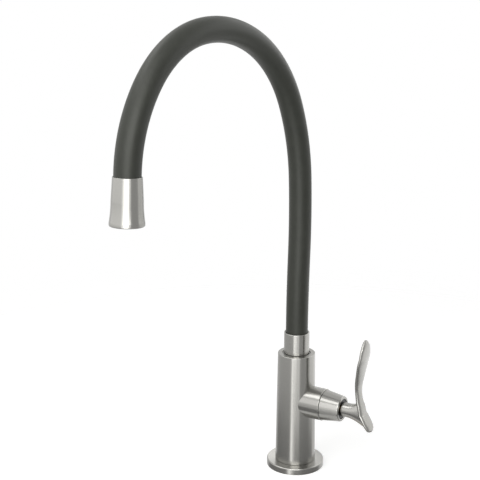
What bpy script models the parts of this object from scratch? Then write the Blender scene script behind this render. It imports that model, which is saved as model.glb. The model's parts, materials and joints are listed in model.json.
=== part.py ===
"""Flexible kitchen faucet: a pillar tap with a side lever and a bendable hose spout.

Metres, +Z up. The origin is the centre of the base on the deck's top face. The spout
reaches toward -Y and the lever's stem points toward +X. Everything below z = 0 hangs
under the deck.
"""
import math

import bmesh
import bpy
from mathutils import Matrix, Vector

# Fits shared by every piece
CLEARANCE = 0.0003
SWIVEL_CLEARANCE = 0.0005
CUT_OVERRUN = 0.001

# Deck that the tap clamps to
DECK_THICKNESS = 0.012

# Base flange and its gasket
FLANGE_RADIUS = 0.0290
FLANGE_THICKNESS = 0.0065
FLANGE_EDGE_ROUND = 0.0012
GASKET_OUTER_RADIUS = 0.0250
GASKET_WIDTH = 0.0045
GASKET_THICKNESS = 0.0018

# Hollow threaded shank through the deck, with what clamps it from below
SHANK_RADIUS = 0.0104
SHANK_BORE_RADIUS = 0.0070
SHANK_DROP = 0.055
SHANK_SEAT_DEPTH = 0.014
SHANK_END_CHAMFER = 0.0010
SHANK_SEAL_THICKNESS = 0.0020
WASHER_RADIUS = 0.0200
RUBBER_WASHER_THICKNESS = 0.0030
STEEL_WASHER_THICKNESS = 0.0016
LOCK_NUT_ACROSS_FLATS = 0.0300
LOCK_NUT_THICKNESS = 0.0080
LOCK_NUT_CHAMFER = 0.0012

# Pillar body
BODY_BASE_RADIUS = 0.0203
BODY_TOP_RADIUS = 0.0187
BODY_HEIGHT = 0.1135
BODY_EDGE_ROUND = 0.0006
INLET_DRILL_RADIUS = 0.0030
OUTLET_DRILL_RADIUS = 0.0026
INLET_DRILL_OFFSET = 0.0030
WATERWAY_WEB = 0.0020

# Side branch that holds the valve: its axis below the body's top, and turned back from +X
BRANCH_DROP = 0.0495
BRANCH_TURN_DEGREES = 6.0
BOSS_RADIUS = 0.0160
BOSS_REACH = 0.0328
BOSS_EDGE_ROUND = 0.0010
POCKET_FLOOR_PAST_AXIS = 0.0040
SEAT_PORT_RADIUS = 0.0036

# Quarter-turn ceramic valve
VALVE_HOUSING_RADIUS = 0.0118
HOUSING_RING_WIRE = 0.0007
HOUSING_GROOVE_WIDTH = 0.0021
VALVE_DISC_RADIUS = 0.0085
VALVE_DISC_THICKNESS = 0.0030
SEAT_SEAL_THICKNESS = 0.0018
SEAT_SEAL_WIDTH = 0.0034
DRIVER_LENGTH = 0.0150
DRIVER_WIDTH = 0.0048
DRIVER_THICKNESS = 0.0025
TONGUE_WIDTH = 0.0026
TONGUE_LENGTH = 0.0110
TONGUE_DEPTH = 0.0014
SPINDLE_RADIUS = 0.0038
SPINDLE_GROOVE_WIDTH = 0.0018
SPINDLE_RING_WIRE = 0.0005
HOUSING_NECK_RADIUS = 0.0088
HOUSING_WINDOW_WIDTH = 0.0070
PORT_SECTOR_DEGREES = 76.0
PORT_INNER_RADIUS = 0.0026
PORT_OUTER_RADIUS = 0.0068

# Tapered bonnet nut over the valve's neck, and the black bush round the lever's stem
BONNET_BACK_RADIUS = 0.0154
BONNET_FRONT_RADIUS = 0.0126
BONNET_LENGTH = 0.0194
BONNET_FRONT_ROUND = 0.0013
BONNET_BACK_ROUND = 0.0010
BONNET_JOINT_GAP = 0.0004
BUSH_RADIUS = 0.0096
BUSH_LENGTH = 0.0040
BUSH_SET_BACK = 0.0004

# Lever: a round stem that flares into a curved blade
LEVER_STEM_RADIUS = 0.0072
LEVER_STEM_GAP = 0.0006
LEVER_STEM_STRAIGHT = 0.0075
LEVER_SOCKET_DEPTH = 0.0120
LEVER_WAIST_REACH = 0.0157
LEVER_RISE = 0.0753
LEVER_DROP = 0.0170
LEVER_SWEEP = 0.0145
LEVER_WIDTH = 0.0235
LEVER_THICKNESS = 0.0054
LEVER_FOOT_HEIGHT = 0.0300
LEVER_FOOT_WIDTH = 0.0140
SET_SCREW_RADIUS = 0.0020
SET_SCREW_SOCKET_RADIUS = 0.0011
SET_SCREW_SOCKET_DEPTH = 0.0014
SET_SCREW_SET_BACK = 0.0004

# Stations from the blade's lower tip to its upper tip: height as a share of the drop below
# the stem (negative) or the rise above it, outward curl as a share of the sweep, then width
# and thickness as shares of the largest
BLADE_STATION_shares = (
    (-1.00, 1.00, 0.17, 0.45),
    (-0.90, 0.94, 0.52, 0.75),
    (-0.67, 0.81, 0.67, 0.95),
    (-0.30, 0.55, 0.70, 1.00),
    (0.04, 0.29, 0.64, 0.97),
    (0.155, 0.115, 0.545, 0.93),
    (0.235, 0.04, 0.505, 0.90),
    (0.315, 0.00, 0.535, 0.88),
    (0.40, 0.015, 0.67, 0.88),
    (0.485, 0.075, 0.80, 0.90),
    (0.575, 0.15, 0.89, 0.92),
    (0.69, 0.25, 1.00, 0.95),
    (0.78, 0.355, 0.965, 0.96),
    (0.865, 0.39, 0.87, 0.96),
    (0.925, 0.405, 0.675, 0.93),
    (0.972, 0.40, 0.37, 0.78),
    (1.00, 0.40, 0.16, 0.45),
)

# Sections of the flare between the stem and the blade: reach as a share of the way, drop and
# lean as shares of the foot's own, and growth from the stem's radius to the foot's half size
FLARE_SECTION_shares = (
    (0.00, 0.00, 0.00, 0.00),
    (0.30, 0.07, 0.18, 0.14),
    (0.58, 0.30, 0.48, 0.38),
    (0.82, 0.65, 0.78, 0.70),
    (1.00, 1.00, 1.00, 1.00),
)
FOOT_DROP_share = 0.05
FOOT_LEAN_DEGREES = 21.0
FOOT_SWEEP_share = 0.40
SECTION_SQUARENESS = 3.2

# Swivel seat at the top of the pillar
RECESS_DEPTH = 0.0018
GLIDE_RING_RADIUS = 0.0138
GLIDE_RING_THICKNESS = 0.0009
SOCKET_DEPTH = 0.0205
PLUG_RADIUS = 0.0110
PLUG_END_GAP = 0.0010
PLUG_RING_WIRE = 0.0009
PLUG_GROOVE_WIDTH = 0.0026
SNAP_RING_THICKNESS = 0.0012
SNAP_RING_WIDTH = 0.0023
SNAP_RING_OPENING_DEGREES = 30.0
SNAP_RING_BITE = 0.0008
SNAP_HEIGHT_share = 0.22
PLUG_RING_HEIGHT_shares = (0.48, 0.74)

# Collar that the hose stands in
COLLAR_RADIUS = 0.0127
COLLAR_HEIGHT = 0.0220
COLLAR_EDGE_ROUND = 0.0005
COLLAR_HOSE_DEPTH = 0.0140
NIPPLE_NECK_RADIUS = 0.0086
BARB_RADIUS = 0.0033
BARB_LENGTH = 0.0110
BARB_BORE_RADIUS = 0.0024

# Flexible hose: silicone sleeve over a ribbed steel gooseneck over a water tube
HOSE_RADIUS = 0.0110
HOSE_LENGTH = 0.540
SLEEVE_WALL = 0.0024
GOOSENECK_WALL = 0.0021
GOOSENECK_RIB_DEPTH = 0.0009
GOOSENECK_RIB_PITCH = 0.0130
WATER_TUBE_RADIUS = 0.0052
WATER_TUBE_WALL = 0.0013
SEAM_SPHERE_RADIUS = 0.0130
SEAM_GAP = 0.0004
SECTION_BENDS_DEGREES = (-3.0, 6.0, 22.0, 37.0, 35.0, 44.0, 36.0)

# Outlet ferrule, the connector inside it and the aerator
FERRULE_TOP_RADIUS = 0.0119
FERRULE_WAIST_RADIUS = 0.0129
FERRULE_RADIUS = 0.0143
FERRULE_LENGTH = 0.0387
FERRULE_EDGE_ROUND = 0.0010
FERRULE_FLARE_shares = (0.0, 0.3, 0.6, 1.0)
FERRULE_LAND_share = 0.93
FERRULE_BELL_share = 0.45
CONNECTOR_LENGTH = 0.0117
CONNECTOR_RADIUS = 0.0109
AERATOR_WASHER_THICKNESS = 0.0016
AERATOR_WASHER_WIDTH = 0.0045
AERATOR_RADIUS = 0.0118
AERATOR_LENGTH = 0.0118
AERATOR_WALL = 0.0018
AERATOR_SET_BACK = 0.0007
AERATOR_LIP = 0.0010
AERATOR_INSERT_THICKNESS = 0.0050
AERATOR_HOLE_RADIUS = 0.0013
AERATOR_HOLE_PITCH = 0.0038

# Counts and tolerances of the mesh
ROUND_SIDES = 28
SMALL_SIDES = 16
FINE_SIDES = 12
HOLE_SIDES = 6
WIRE_SIDES = 6
EDGE_STEPS = 2
SLEEVE_SIDES = 18
GOOSENECK_SIDES = 8
WATER_TUBE_SIDES = 8
SLEEVE_CHORD_SAG = 0.00030
CORE_CHORD_SAG = 0.00050
MERGE_DISTANCE = 0.00001
SMOOTH_DEGREES = 35.0
BLADE_SIDES = 12
SEAM_SOLVER_STEPS = 12

# Heights worked out from the base up
body_base_z = FLANGE_THICKNESS + CLEARANCE
body_top_z = body_base_z + BODY_HEIGHT
branch_z = body_top_z - BRANCH_DROP
recess_floor_z = body_top_z - RECESS_DEPTH
socket_floor_z = recess_floor_z - SOCKET_DEPTH
glide_ring_z = recess_floor_z + CLEARANCE
collar_base_z = glide_ring_z + GLIDE_RING_THICKNESS + CLEARANCE
collar_top_z = collar_base_z + COLLAR_HEIGHT
hose_seat_z = collar_top_z - COLLAR_HOSE_DEPTH
shank_socket_top_z = body_base_z + SHANK_SEAT_DEPTH
shank_seal_z = shank_socket_top_z - CLEARANCE - SHANK_SEAL_THICKNESS
shank_top_z = shank_seal_z - CLEARANCE

# Distances from the pillar's axis along the branch
pocket_floor_x = -POCKET_FLOOR_PAST_AXIS
seal_x = pocket_floor_x + CLEARANCE
fixed_disc_x = seal_x + SEAT_SEAL_THICKNESS + CLEARANCE
moving_disc_x = fixed_disc_x + VALVE_DISC_THICKNESS + CLEARANCE
driver_x = moving_disc_x + VALVE_DISC_THICKNESS + CLEARANCE
chamber_end_x = driver_x + DRIVER_THICKNESS + CLEARANCE
bonnet_x = BOSS_REACH + BONNET_JOINT_GAP
bonnet_end_x = bonnet_x + BONNET_LENGTH
bush_x = bonnet_end_x - BUSH_SET_BACK - BUSH_LENGTH
neck_end_x = bush_x - CLEARANCE
stem_x = bonnet_end_x + LEVER_STEM_GAP
spindle_end_x = stem_x + LEVER_SOCKET_DEPTH - CLEARANCE

# Distances along the outlet from the ferrule's top, worked out from its end up
aerator_end = FERRULE_LENGTH - AERATOR_SET_BACK
aerator_start = aerator_end - AERATOR_LENGTH
aerator_washer_start = aerator_start - CLEARANCE - AERATOR_WASHER_THICKNESS
connector_end = aerator_washer_start - CLEARANCE
connector_start = connector_end - CONNECTOR_LENGTH
ferrule_hose_depth = connector_start - CLEARANCE

# Radii that follow from the pieces they fit
gasket_inner_radius = GASKET_OUTER_RADIUS - GASKET_WIDTH
pocket_radius = VALVE_HOUSING_RADIUS + CLEARANCE
chamber_radius = VALVE_DISC_RADIUS + CLEARANCE
spindle_bore_radius = SPINDLE_RADIUS + CLEARANCE
plug_socket_radius = PLUG_RADIUS + SWIVEL_CLEARANCE
sleeve_bore_radius = HOSE_RADIUS - SLEEVE_WALL
gooseneck_radius = sleeve_bore_radius - SWIVEL_CLEARANCE
gooseneck_bore_radius = gooseneck_radius - GOOSENECK_WALL
water_tube_bore_radius = WATER_TUBE_RADIUS - WATER_TUBE_WALL

section_count = len(SECTION_BENDS_DEGREES)
section_length = HOSE_LENGTH / section_count


# Scene, collections and materials

def clear_scene():
    for thing in list(bpy.data.objects):
        bpy.data.objects.remove(thing, do_unlink=True)


def new_collection(name):
    made = bpy.data.collections.new(name)
    bpy.context.scene.collection.children.link(made)
    return made


def material(name, colour, roughness, metallic):
    made = bpy.data.materials.new(name)
    made.use_nodes = True
    shader = made.node_tree.nodes["Principled BSDF"]
    shader.inputs["Base Color"].default_value = (*colour, 1.0)
    shader.inputs["Roughness"].default_value = roughness
    shader.inputs["Metallic"].default_value = metallic
    return made


def steel(name):
    return material(name + "_steel", (0.62, 0.61, 0.58), 0.30, 1.0)


def brass(name):
    return material(name + "_brass", (0.72, 0.56, 0.27), 0.35, 1.0)


def rubber(name):
    return material(name + "_rubber", (0.035, 0.035, 0.032), 0.75, 0.0)


def silicone(name):
    return material(name + "_silicone", (0.055, 0.057, 0.047), 0.60, 0.0)


def black_plastic(name):
    return material(name + "_black_plastic", (0.02, 0.02, 0.02), 0.50, 0.0)


def grey_plastic(name):
    return material(name + "_grey_plastic", (0.30, 0.30, 0.29), 0.45, 0.0)


def ceramic(name):
    return material(name + "_ceramic", (0.82, 0.80, 0.74), 0.25, 0.0)


clear_scene()
faucet = new_collection("flexible_kitchen_faucet")
cutters = new_collection("cutters")

UPRIGHT = Matrix.Identity(4)
BRANCH_TURN = Matrix.Rotation(math.radians(BRANCH_TURN_DEGREES), 4, "Z")
ALONG_BRANCH = (BRANCH_TURN @ Matrix.Translation((0, 0, branch_z))
                @ Matrix.Rotation(math.pi / 2, 4, "Y"))


def add_object(name, mesh, finish, place=UPRIGHT):
    made = bpy.data.objects.new(name, mesh)
    faucet.objects.link(made)
    made.matrix_world = place
    if finish:
        mesh.materials.clear()
        mesh.materials.append(finish)
    return made


def smooth(thing):
    thing.data.shade_smooth()
    thing.data.set_sharp_from_angle(angle=math.radians(SMOOTH_DEGREES))


def evaluated_mesh(thing):
    bpy.context.view_layer.update()
    depsgraph = bpy.context.evaluated_depsgraph_get()
    return bpy.data.meshes.new_from_object(thing.evaluated_get(depsgraph))


def boolean(target, tool, operation):
    """Cut or join a shape, and put the tool away with the cutters."""
    faucet.objects.unlink(tool)
    cutters.objects.link(tool)
    tool.hide_render = True
    tool.display_type = "WIRE"
    step = target.modifiers.new(tool.name, "BOOLEAN")
    step.operation = operation
    step.object = tool
    step.solver = "EXACT"


# Turned shapes. A profile is a list of (radius, height) points that runs down the outer side

def turned_mesh(name, profile, sides, closed):
    outline = bpy.data.meshes.new(name)
    edges = [(k, k + 1) for k in range(len(profile) - 1)]
    if closed:
        edges.append((len(profile) - 1, 0))
    outline.from_pydata([(radius, 0.0, height) for radius, height in profile], edges, [])
    blank = add_object(name, outline, None)
    screw = blank.modifiers.new("turn", "SCREW")
    screw.axis = "Z"
    screw.steps = sides
    screw.render_steps = sides
    screw.use_merge_vertices = True
    screw.merge_threshold = MERGE_DISTANCE
    mesh = evaluated_mesh(blank)
    bpy.data.objects.remove(blank, do_unlink=True)
    return mesh


def turned_ring(name, profile, finish, place=UPRIGHT, sides=ROUND_SIDES):
    """A turned piece with a bore: its profile is a closed loop."""
    made = add_object(name, turned_mesh(name, profile, sides, True), finish, place)
    smooth(made)
    return made


def turned_solid(name, profile, finish, place=UPRIGHT, sides=ROUND_SIDES):
    """A turned piece whose profile starts and ends on the axis."""
    made = add_object(name, turned_mesh(name, profile, sides, False), finish, place)
    smooth(made)
    return made


def rod(name, radius, low, high, finish, place=UPRIGHT, sides=SMALL_SIDES):
    return turned_solid(name, [(0, high), (radius, high), (radius, low), (0, low)], finish,
                        place, sides)


def washer(name, outer, inner, low, high, finish, place=UPRIGHT, sides=ROUND_SIDES):
    profile = [(inner, high), (outer, high), (outer, low), (inner, low)]
    return turned_ring(name, profile, finish, place, sides)


def wire_profile(middle_radius, wire_radius, height):
    """Section of a round sealing ring, run clockwise as every profile is."""
    angles = [-math.tau * k / WIRE_SIDES for k in range(WIRE_SIDES)]
    return [(middle_radius + wire_radius * math.cos(a), height + wire_radius * math.sin(a))
            for a in angles]


def top_round(radius, height, size):
    """Points of a rounded outer edge, from the flat top onto the side."""
    turns = [math.pi / 2 * k / EDGE_STEPS for k in range(EDGE_STEPS + 1)]
    return [(radius - size + size * math.sin(a), height - size + size * math.cos(a))
            for a in turns]


def bottom_round(radius, height, size):
    """Points of a rounded outer edge, from the side onto the flat bottom."""
    turns = [math.pi / 2 * k / EDGE_STEPS for k in range(EDGE_STEPS + 1)]
    return [(radius - size + size * math.cos(a), height + size - size * math.sin(a))
            for a in turns]


def groove(radius, middle, width, bottom):
    """A square groove in an outer side that the profile runs down."""
    high = middle + width / 2
    low = middle - width / 2
    return [(radius, high), (bottom, high), (bottom, low), (radius, low)]


def ring_seat(bore, wire):
    """Middle radius of a sealing ring just inside a bore, and its groove's bottom radius."""
    middle = bore - CLEARANCE - wire
    return middle, middle - wire - CLEARANCE


# Flat shapes, cut from plate

def arc_points(radius, start, end, steps):
    turns = [start + (end - start) * k / steps for k in range(steps + 1)]
    return [(radius * math.cos(a), radius * math.sin(a)) for a in turns]


def circle_points(radius, sides, centre=(0.0, 0.0)):
    return [(centre[0] + x, centre[1] + y) for x, y in arc_points(radius, 0, math.tau, sides)[:-1]]


def sector_points(inner, outer, middle, span, steps):
    half = span / 2
    out = arc_points(outer, middle - half, middle + half, steps)
    back = arc_points(inner, middle + half, middle - half, steps // 2)
    return out + back


def plate(name, outlines, low, high, finish, place=UPRIGHT):
    """A flat plate between two heights: the first outline is its edge, the rest are holes."""
    curve = bpy.data.curves.new(name, "CURVE")
    curve.dimensions = "2D"
    curve.fill_mode = "BOTH"
    curve.extrude = (high - low) / 2
    for points in outlines:
        spline = curve.splines.new("POLY")
        spline.points.add(len(points) - 1)
        for point, (x, y) in zip(spline.points, points):
            point.co = (x, y, 0.0, 1.0)
        spline.use_cyclic_u = True
    blank = bpy.data.objects.new(name + "_outline", curve)
    faucet.objects.link(blank)
    mesh = evaluated_mesh(blank)
    bpy.data.objects.remove(blank, do_unlink=True)
    weld_and_face_out(mesh)
    made = add_object(name, mesh, finish, place @ Matrix.Translation((0, 0, (low + high) / 2)))
    smooth(made)
    return made


def weld_and_face_out(mesh):
    shape = bmesh.new()
    shape.from_mesh(mesh)
    bmesh.ops.remove_doubles(shape, verts=shape.verts, dist=MERGE_DISTANCE)
    bmesh.ops.recalc_face_normals(shape, faces=shape.faces)
    shape.to_mesh(mesh)
    shape.free()


def block(name, sizes, centre, place=UPRIGHT):
    mesh = bpy.data.meshes.new(name)
    shape = bmesh.new()
    bmesh.ops.create_cube(shape, size=1.0)
    bmesh.ops.scale(shape, vec=sizes, verts=shape.verts)
    shape.to_mesh(mesh)
    shape.free()
    return add_object(name, mesh, None, place @ Matrix.Translation(centre))


def loft(name, rings, finish, place):
    """Skin over rings that each have the same number of points, with flat ends."""
    mesh = bpy.data.meshes.new(name)
    shape = bmesh.new()
    rows = [[shape.verts.new(point) for point in ring] for ring in rings]
    for row, following in zip(rows, rows[1:]):
        for k in range(len(row)):
            after = (k + 1) % len(row)
            shape.faces.new((row[k], row[after], following[after], following[k]))
    shape.faces.new(rows[0])
    shape.faces.new(rows[-1])
    bmesh.ops.recalc_face_normals(shape, faces=shape.faces)
    shape.to_mesh(mesh)
    shape.free()
    made = add_object(name, mesh, finish, place)
    smooth(made)
    return made


# Base: flange, gasket, shank and the clamp under the deck

def make_flange():
    bore = SHANK_RADIUS + CLEARANCE
    gasket_seat = GASKET_THICKNESS + CLEARANCE
    profile = [(bore, FLANGE_THICKNESS)]
    profile += top_round(FLANGE_RADIUS, FLANGE_THICKNESS, FLANGE_EDGE_ROUND)
    profile += [(FLANGE_RADIUS, 0)]
    profile += [(GASKET_OUTER_RADIUS + CLEARANCE, 0)]
    profile += [(GASKET_OUTER_RADIUS + CLEARANCE, gasket_seat)]
    profile += [(gasket_inner_radius - CLEARANCE, gasket_seat)]
    profile += [(gasket_inner_radius - CLEARANCE, 0), (bore, 0)]
    return turned_ring("base_flange", profile, steel("base_flange"))


def make_gasket():
    return washer("deck_gasket", GASKET_OUTER_RADIUS, gasket_inner_radius, 0, GASKET_THICKNESS,
                  rubber("deck_gasket"))


def make_shank():
    end = -SHANK_DROP
    profile = [(SHANK_BORE_RADIUS, shank_top_z), (SHANK_RADIUS, shank_top_z)]
    profile += [(SHANK_RADIUS, end + SHANK_END_CHAMFER)]
    profile += [(SHANK_RADIUS - SHANK_END_CHAMFER, end), (SHANK_BORE_RADIUS, end)]
    return turned_ring("threaded_shank", profile, brass("threaded_shank"), sides=SMALL_SIDES)


def make_shank_seal():
    return washer("shank_seal", SHANK_RADIUS, SHANK_BORE_RADIUS, shank_seal_z,
                  shank_seal_z + SHANK_SEAL_THICKNESS, rubber("shank_seal"), sides=SMALL_SIDES)


def make_clamp():
    """Rubber washer, steel washer and hexagon lock nut, one under another."""
    bore = SHANK_RADIUS + CLEARANCE
    rubber_top = -DECK_THICKNESS
    steel_top = rubber_top - RUBBER_WASHER_THICKNESS - CLEARANCE
    nut_top = steel_top - STEEL_WASHER_THICKNESS - CLEARANCE
    nut_end = nut_top - LOCK_NUT_THICKNESS
    soft = washer("rubber_washer", WASHER_RADIUS, bore, rubber_top - RUBBER_WASHER_THICKNESS,
                  rubber_top, rubber("rubber_washer"))
    hard = washer("steel_washer", WASHER_RADIUS, bore, steel_top - STEEL_WASHER_THICKNESS,
                  steel_top, steel("steel_washer"))
    corner = LOCK_NUT_ACROSS_FLATS / math.sqrt(3)
    nut = plate("lock_nut", [circle_points(corner, HOLE_SIDES), circle_points(bore, SMALL_SIDES)],
                nut_end, nut_top, brass("lock_nut"))
    inside_flats = LOCK_NUT_ACROSS_FLATS / 2
    chamfered = [(0, nut_top), (inside_flats, nut_top), (corner, nut_top - LOCK_NUT_CHAMFER)]
    chamfered += [(corner + CUT_OVERRUN, nut_top - LOCK_NUT_CHAMFER)]
    chamfered += [(corner + CUT_OVERRUN, nut_end + LOCK_NUT_CHAMFER)]
    chamfered += [(corner, nut_end + LOCK_NUT_CHAMFER), (inside_flats, nut_end), (0, nut_end)]
    envelope = turned_solid("lock_nut_chamfer", chamfered, None, sides=SMALL_SIDES)
    boolean(nut, envelope, "INTERSECT")
    return [soft, hard, nut]


# Pillar body with its valve boss and waterways

def make_body():
    shank_hole = SHANK_RADIUS + CLEARANCE
    ring_groove_z = snap_ring_middle()
    snap_high = ring_groove_z + SNAP_RING_THICKNESS / 2 + SWIVEL_CLEARANCE
    snap_low = ring_groove_z - SNAP_RING_THICKNESS / 2 - SWIVEL_CLEARANCE
    snap_radius = plug_socket_radius + SNAP_RING_BITE + SWIVEL_CLEARANCE
    recess_radius = GLIDE_RING_RADIUS + CLEARANCE
    profile = [(0, socket_floor_z), (plug_socket_radius, socket_floor_z)]
    profile += [(plug_socket_radius, snap_low), (snap_radius, snap_low)]
    profile += [(snap_radius, snap_high), (plug_socket_radius, snap_high)]
    profile += [(plug_socket_radius, recess_floor_z), (recess_radius, recess_floor_z)]
    profile += [(recess_radius, body_top_z)]
    profile += top_round(BODY_TOP_RADIUS, body_top_z, BODY_EDGE_ROUND)
    profile += [(BODY_BASE_RADIUS, body_base_z), (shank_hole, body_base_z)]
    profile += [(shank_hole, shank_socket_top_z), (0, shank_socket_top_z)]
    body = turned_solid("pillar_body", profile, steel("pillar_body"))

    boss_profile = [(0, BOSS_REACH)]
    boss_profile += top_round(BOSS_RADIUS, BOSS_REACH, BOSS_EDGE_ROUND)
    boss_profile += [(BOSS_RADIUS, 0), (0, 0)]
    boolean(body, turned_solid("valve_boss", boss_profile, None, ALONG_BRANCH), "UNION")
    inlet_x = pocket_floor_x - WATERWAY_WEB - INLET_DRILL_RADIUS
    inlet_foot = Vector((-INLET_DRILL_OFFSET, 0, shank_socket_top_z))
    inlet_run = Vector((inlet_x, 0, branch_z)) - inlet_foot
    inlet_turn = Vector((0, 0, 1)).rotation_difference(inlet_run).to_matrix().to_4x4()
    cavity_profile = [(0, BOSS_REACH + CUT_OVERRUN), (pocket_radius, BOSS_REACH + CUT_OVERRUN)]
    cavity_profile += [(pocket_radius, pocket_floor_x), (SEAT_PORT_RADIUS, pocket_floor_x)]
    cavity_profile += [(SEAT_PORT_RADIUS, inlet_x), (0, inlet_x)]
    cavity = turned_solid("valve_cavity", cavity_profile, None, ALONG_BRANCH, SMALL_SIDES)
    boolean(cavity, rod("inlet_drill", INLET_DRILL_RADIUS, -CUT_OVERRUN,
                        inlet_run.length + SEAT_PORT_RADIUS / 2, None,
                        BRANCH_TURN @ Matrix.Translation(inlet_foot) @ inlet_turn,
                        FINE_SIDES), "UNION")
    outlet_x = (moving_disc_x + chamber_end_x) / 2
    boolean(cavity, rod("outlet_drill", OUTLET_DRILL_RADIUS, branch_z,
                        socket_floor_z + CUT_OVERRUN, None,
                        BRANCH_TURN @ Matrix.Translation((outlet_x, 0, 0)), FINE_SIDES), "UNION")
    boolean(body, cavity, "DIFFERENCE")
    return body


# Quarter-turn valve, from the pocket's floor outward

def make_seat_seal():
    return washer("seat_seal", VALVE_DISC_RADIUS, VALVE_DISC_RADIUS - SEAT_SEAL_WIDTH, seal_x,
                  seal_x + SEAT_SEAL_THICKNESS, rubber("seat_seal"), ALONG_BRANCH, SMALL_SIDES)


def disc_ports(turn):
    """Two opposite ports, as quarter-turn discs have."""
    span = math.radians(PORT_SECTOR_DEGREES)
    return [sector_points(PORT_INNER_RADIUS, PORT_OUTER_RADIUS, turn + side, span, HOLE_SIDES)
            for side in (0, math.pi)]


def make_discs():
    edge = circle_points(VALVE_DISC_RADIUS, SMALL_SIDES)
    fixed = plate("fixed_ceramic_disc", [edge] + disc_ports(0.0), fixed_disc_x,
                  fixed_disc_x + VALVE_DISC_THICKNESS, ceramic("fixed_ceramic_disc"), ALONG_BRANCH)
    moving_end = moving_disc_x + VALVE_DISC_THICKNESS
    moving = plate("moving_ceramic_disc", [edge] + disc_ports(math.pi / 2), moving_disc_x,
                   moving_end, ceramic("moving_ceramic_disc"), ALONG_BRANCH)
    slot_depth = TONGUE_DEPTH + CLEARANCE
    slot = block("tongue_slot", (TONGUE_LENGTH + 2 * CLEARANCE, TONGUE_WIDTH + 2 * CLEARANCE,
                                 slot_depth + CUT_OVERRUN),
                 (0, 0, moving_end + (CUT_OVERRUN - slot_depth) / 2), ALONG_BRANCH)
    boolean(moving, slot, "DIFFERENCE")
    return fixed, moving


def spindle_ring_middle():
    return (chamber_end_x + neck_end_x) / 2


def make_spindle():
    """Spindle with its sealing groove, driver bar and the tongue that turns the disc."""
    profile = [(0, spindle_end_x), (SPINDLE_RADIUS, spindle_end_x)]
    bottom = ring_seat(spindle_bore_radius, SPINDLE_RING_WIRE)[1]
    profile += groove(SPINDLE_RADIUS, spindle_ring_middle(), SPINDLE_GROOVE_WIDTH, bottom)
    profile += [(SPINDLE_RADIUS, driver_x + DRIVER_THICKNESS / 2)]
    profile += [(0, driver_x + DRIVER_THICKNESS / 2)]
    spindle = turned_solid("cartridge_spindle", profile, brass("cartridge_spindle"),
                           ALONG_BRANCH, SMALL_SIDES)
    bar = block("driver_bar", (DRIVER_LENGTH, DRIVER_WIDTH, DRIVER_THICKNESS),
                (0, 0, driver_x + DRIVER_THICKNESS / 2), ALONG_BRANCH)
    boolean(spindle, bar, "UNION")
    reach = TONGUE_DEPTH + CLEARANCE
    tongue = block("drive_tongue", (TONGUE_LENGTH, TONGUE_WIDTH, reach + CUT_OVERRUN),
                   (0, 0, driver_x + (CUT_OVERRUN - reach) / 2), ALONG_BRANCH)
    boolean(spindle, tongue, "UNION")
    return spindle


def make_spindle_ring():
    middle = ring_seat(spindle_bore_radius, SPINDLE_RING_WIRE)[0]
    profile = wire_profile(middle, SPINDLE_RING_WIRE, spindle_ring_middle())
    return turned_ring("spindle_o_ring", profile, rubber("spindle_o_ring"), ALONG_BRANCH,
                       SMALL_SIDES)


def housing_ring_middle():
    return (chamber_end_x + BOSS_REACH) / 2


def make_housing():
    """Valve housing: a cup over the discs, a bored neck for the spindle, and two windows."""
    profile = [(spindle_bore_radius, neck_end_x), (HOUSING_NECK_RADIUS, neck_end_x)]
    profile += [(HOUSING_NECK_RADIUS, BOSS_REACH), (VALVE_HOUSING_RADIUS, BOSS_REACH)]
    bottom = ring_seat(pocket_radius, HOUSING_RING_WIRE)[1]
    profile += groove(VALVE_HOUSING_RADIUS, housing_ring_middle(), HOUSING_GROOVE_WIDTH, bottom)
    profile += [(VALVE_HOUSING_RADIUS, seal_x), (chamber_radius, seal_x)]
    profile += [(chamber_radius, chamber_end_x), (spindle_bore_radius, chamber_end_x)]
    housing = turned_ring("cartridge_housing", profile, brass("cartridge_housing"), ALONG_BRANCH,
                          SMALL_SIDES)
    across = 2 * (VALVE_HOUSING_RADIUS + CUT_OVERRUN)
    windows = block("housing_windows", (across, HOUSING_WINDOW_WIDTH,
                                        chamber_end_x - moving_disc_x),
                    (0, 0, (moving_disc_x + chamber_end_x) / 2), ALONG_BRANCH)
    boolean(housing, windows, "DIFFERENCE")
    return housing


def make_housing_ring():
    middle = ring_seat(pocket_radius, HOUSING_RING_WIRE)[0]
    profile = wire_profile(middle, HOUSING_RING_WIRE, housing_ring_middle())
    return turned_ring("housing_o_ring", profile, rubber("housing_o_ring"), ALONG_BRANCH,
                       SMALL_SIDES)


def make_bonnet():
    neck_bore = HOUSING_NECK_RADIUS + CLEARANCE
    bush_bore = BUSH_RADIUS + CLEARANCE
    step_x = bush_x - CLEARANCE
    profile = [(bush_bore, bonnet_end_x)]
    profile += top_round(BONNET_FRONT_RADIUS, bonnet_end_x, BONNET_FRONT_ROUND)
    profile += bottom_round(BONNET_BACK_RADIUS, bonnet_x, BONNET_BACK_ROUND)
    profile += [(neck_bore, bonnet_x), (neck_bore, step_x), (bush_bore, step_x)]
    return turned_ring("bonnet_nut", profile, steel("bonnet_nut"), ALONG_BRANCH)


def make_bush():
    return washer("stem_bush", BUSH_RADIUS, spindle_bore_radius, bush_x, bush_x + BUSH_LENGTH,
                  black_plastic("stem_bush"), ALONG_BRANCH, SMALL_SIDES)


# Lever

def oval_ring(centre, across, along, half_across, half_along, squareness):
    """A closed ring between an ellipse and a rounded box."""
    ring = []
    for k in range(BLADE_SIDES):
        a = math.tau * (k + 0.5) / BLADE_SIDES
        u = math.copysign(abs(math.cos(a)) ** (2 / squareness), math.cos(a))
        v = math.copysign(abs(math.sin(a)) ** (2 / squareness), math.sin(a))
        ring.append(centre + across * (half_across * u) + along * (half_along * v))
    return ring


def blade_point(height_share, outward_share):
    reach = LEVER_RISE if height_share > 0 else LEVER_DROP
    x = stem_x + LEVER_WAIST_REACH + outward_share * LEVER_SWEEP
    return Vector((x, 0, branch_z + height_share * reach))


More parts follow.
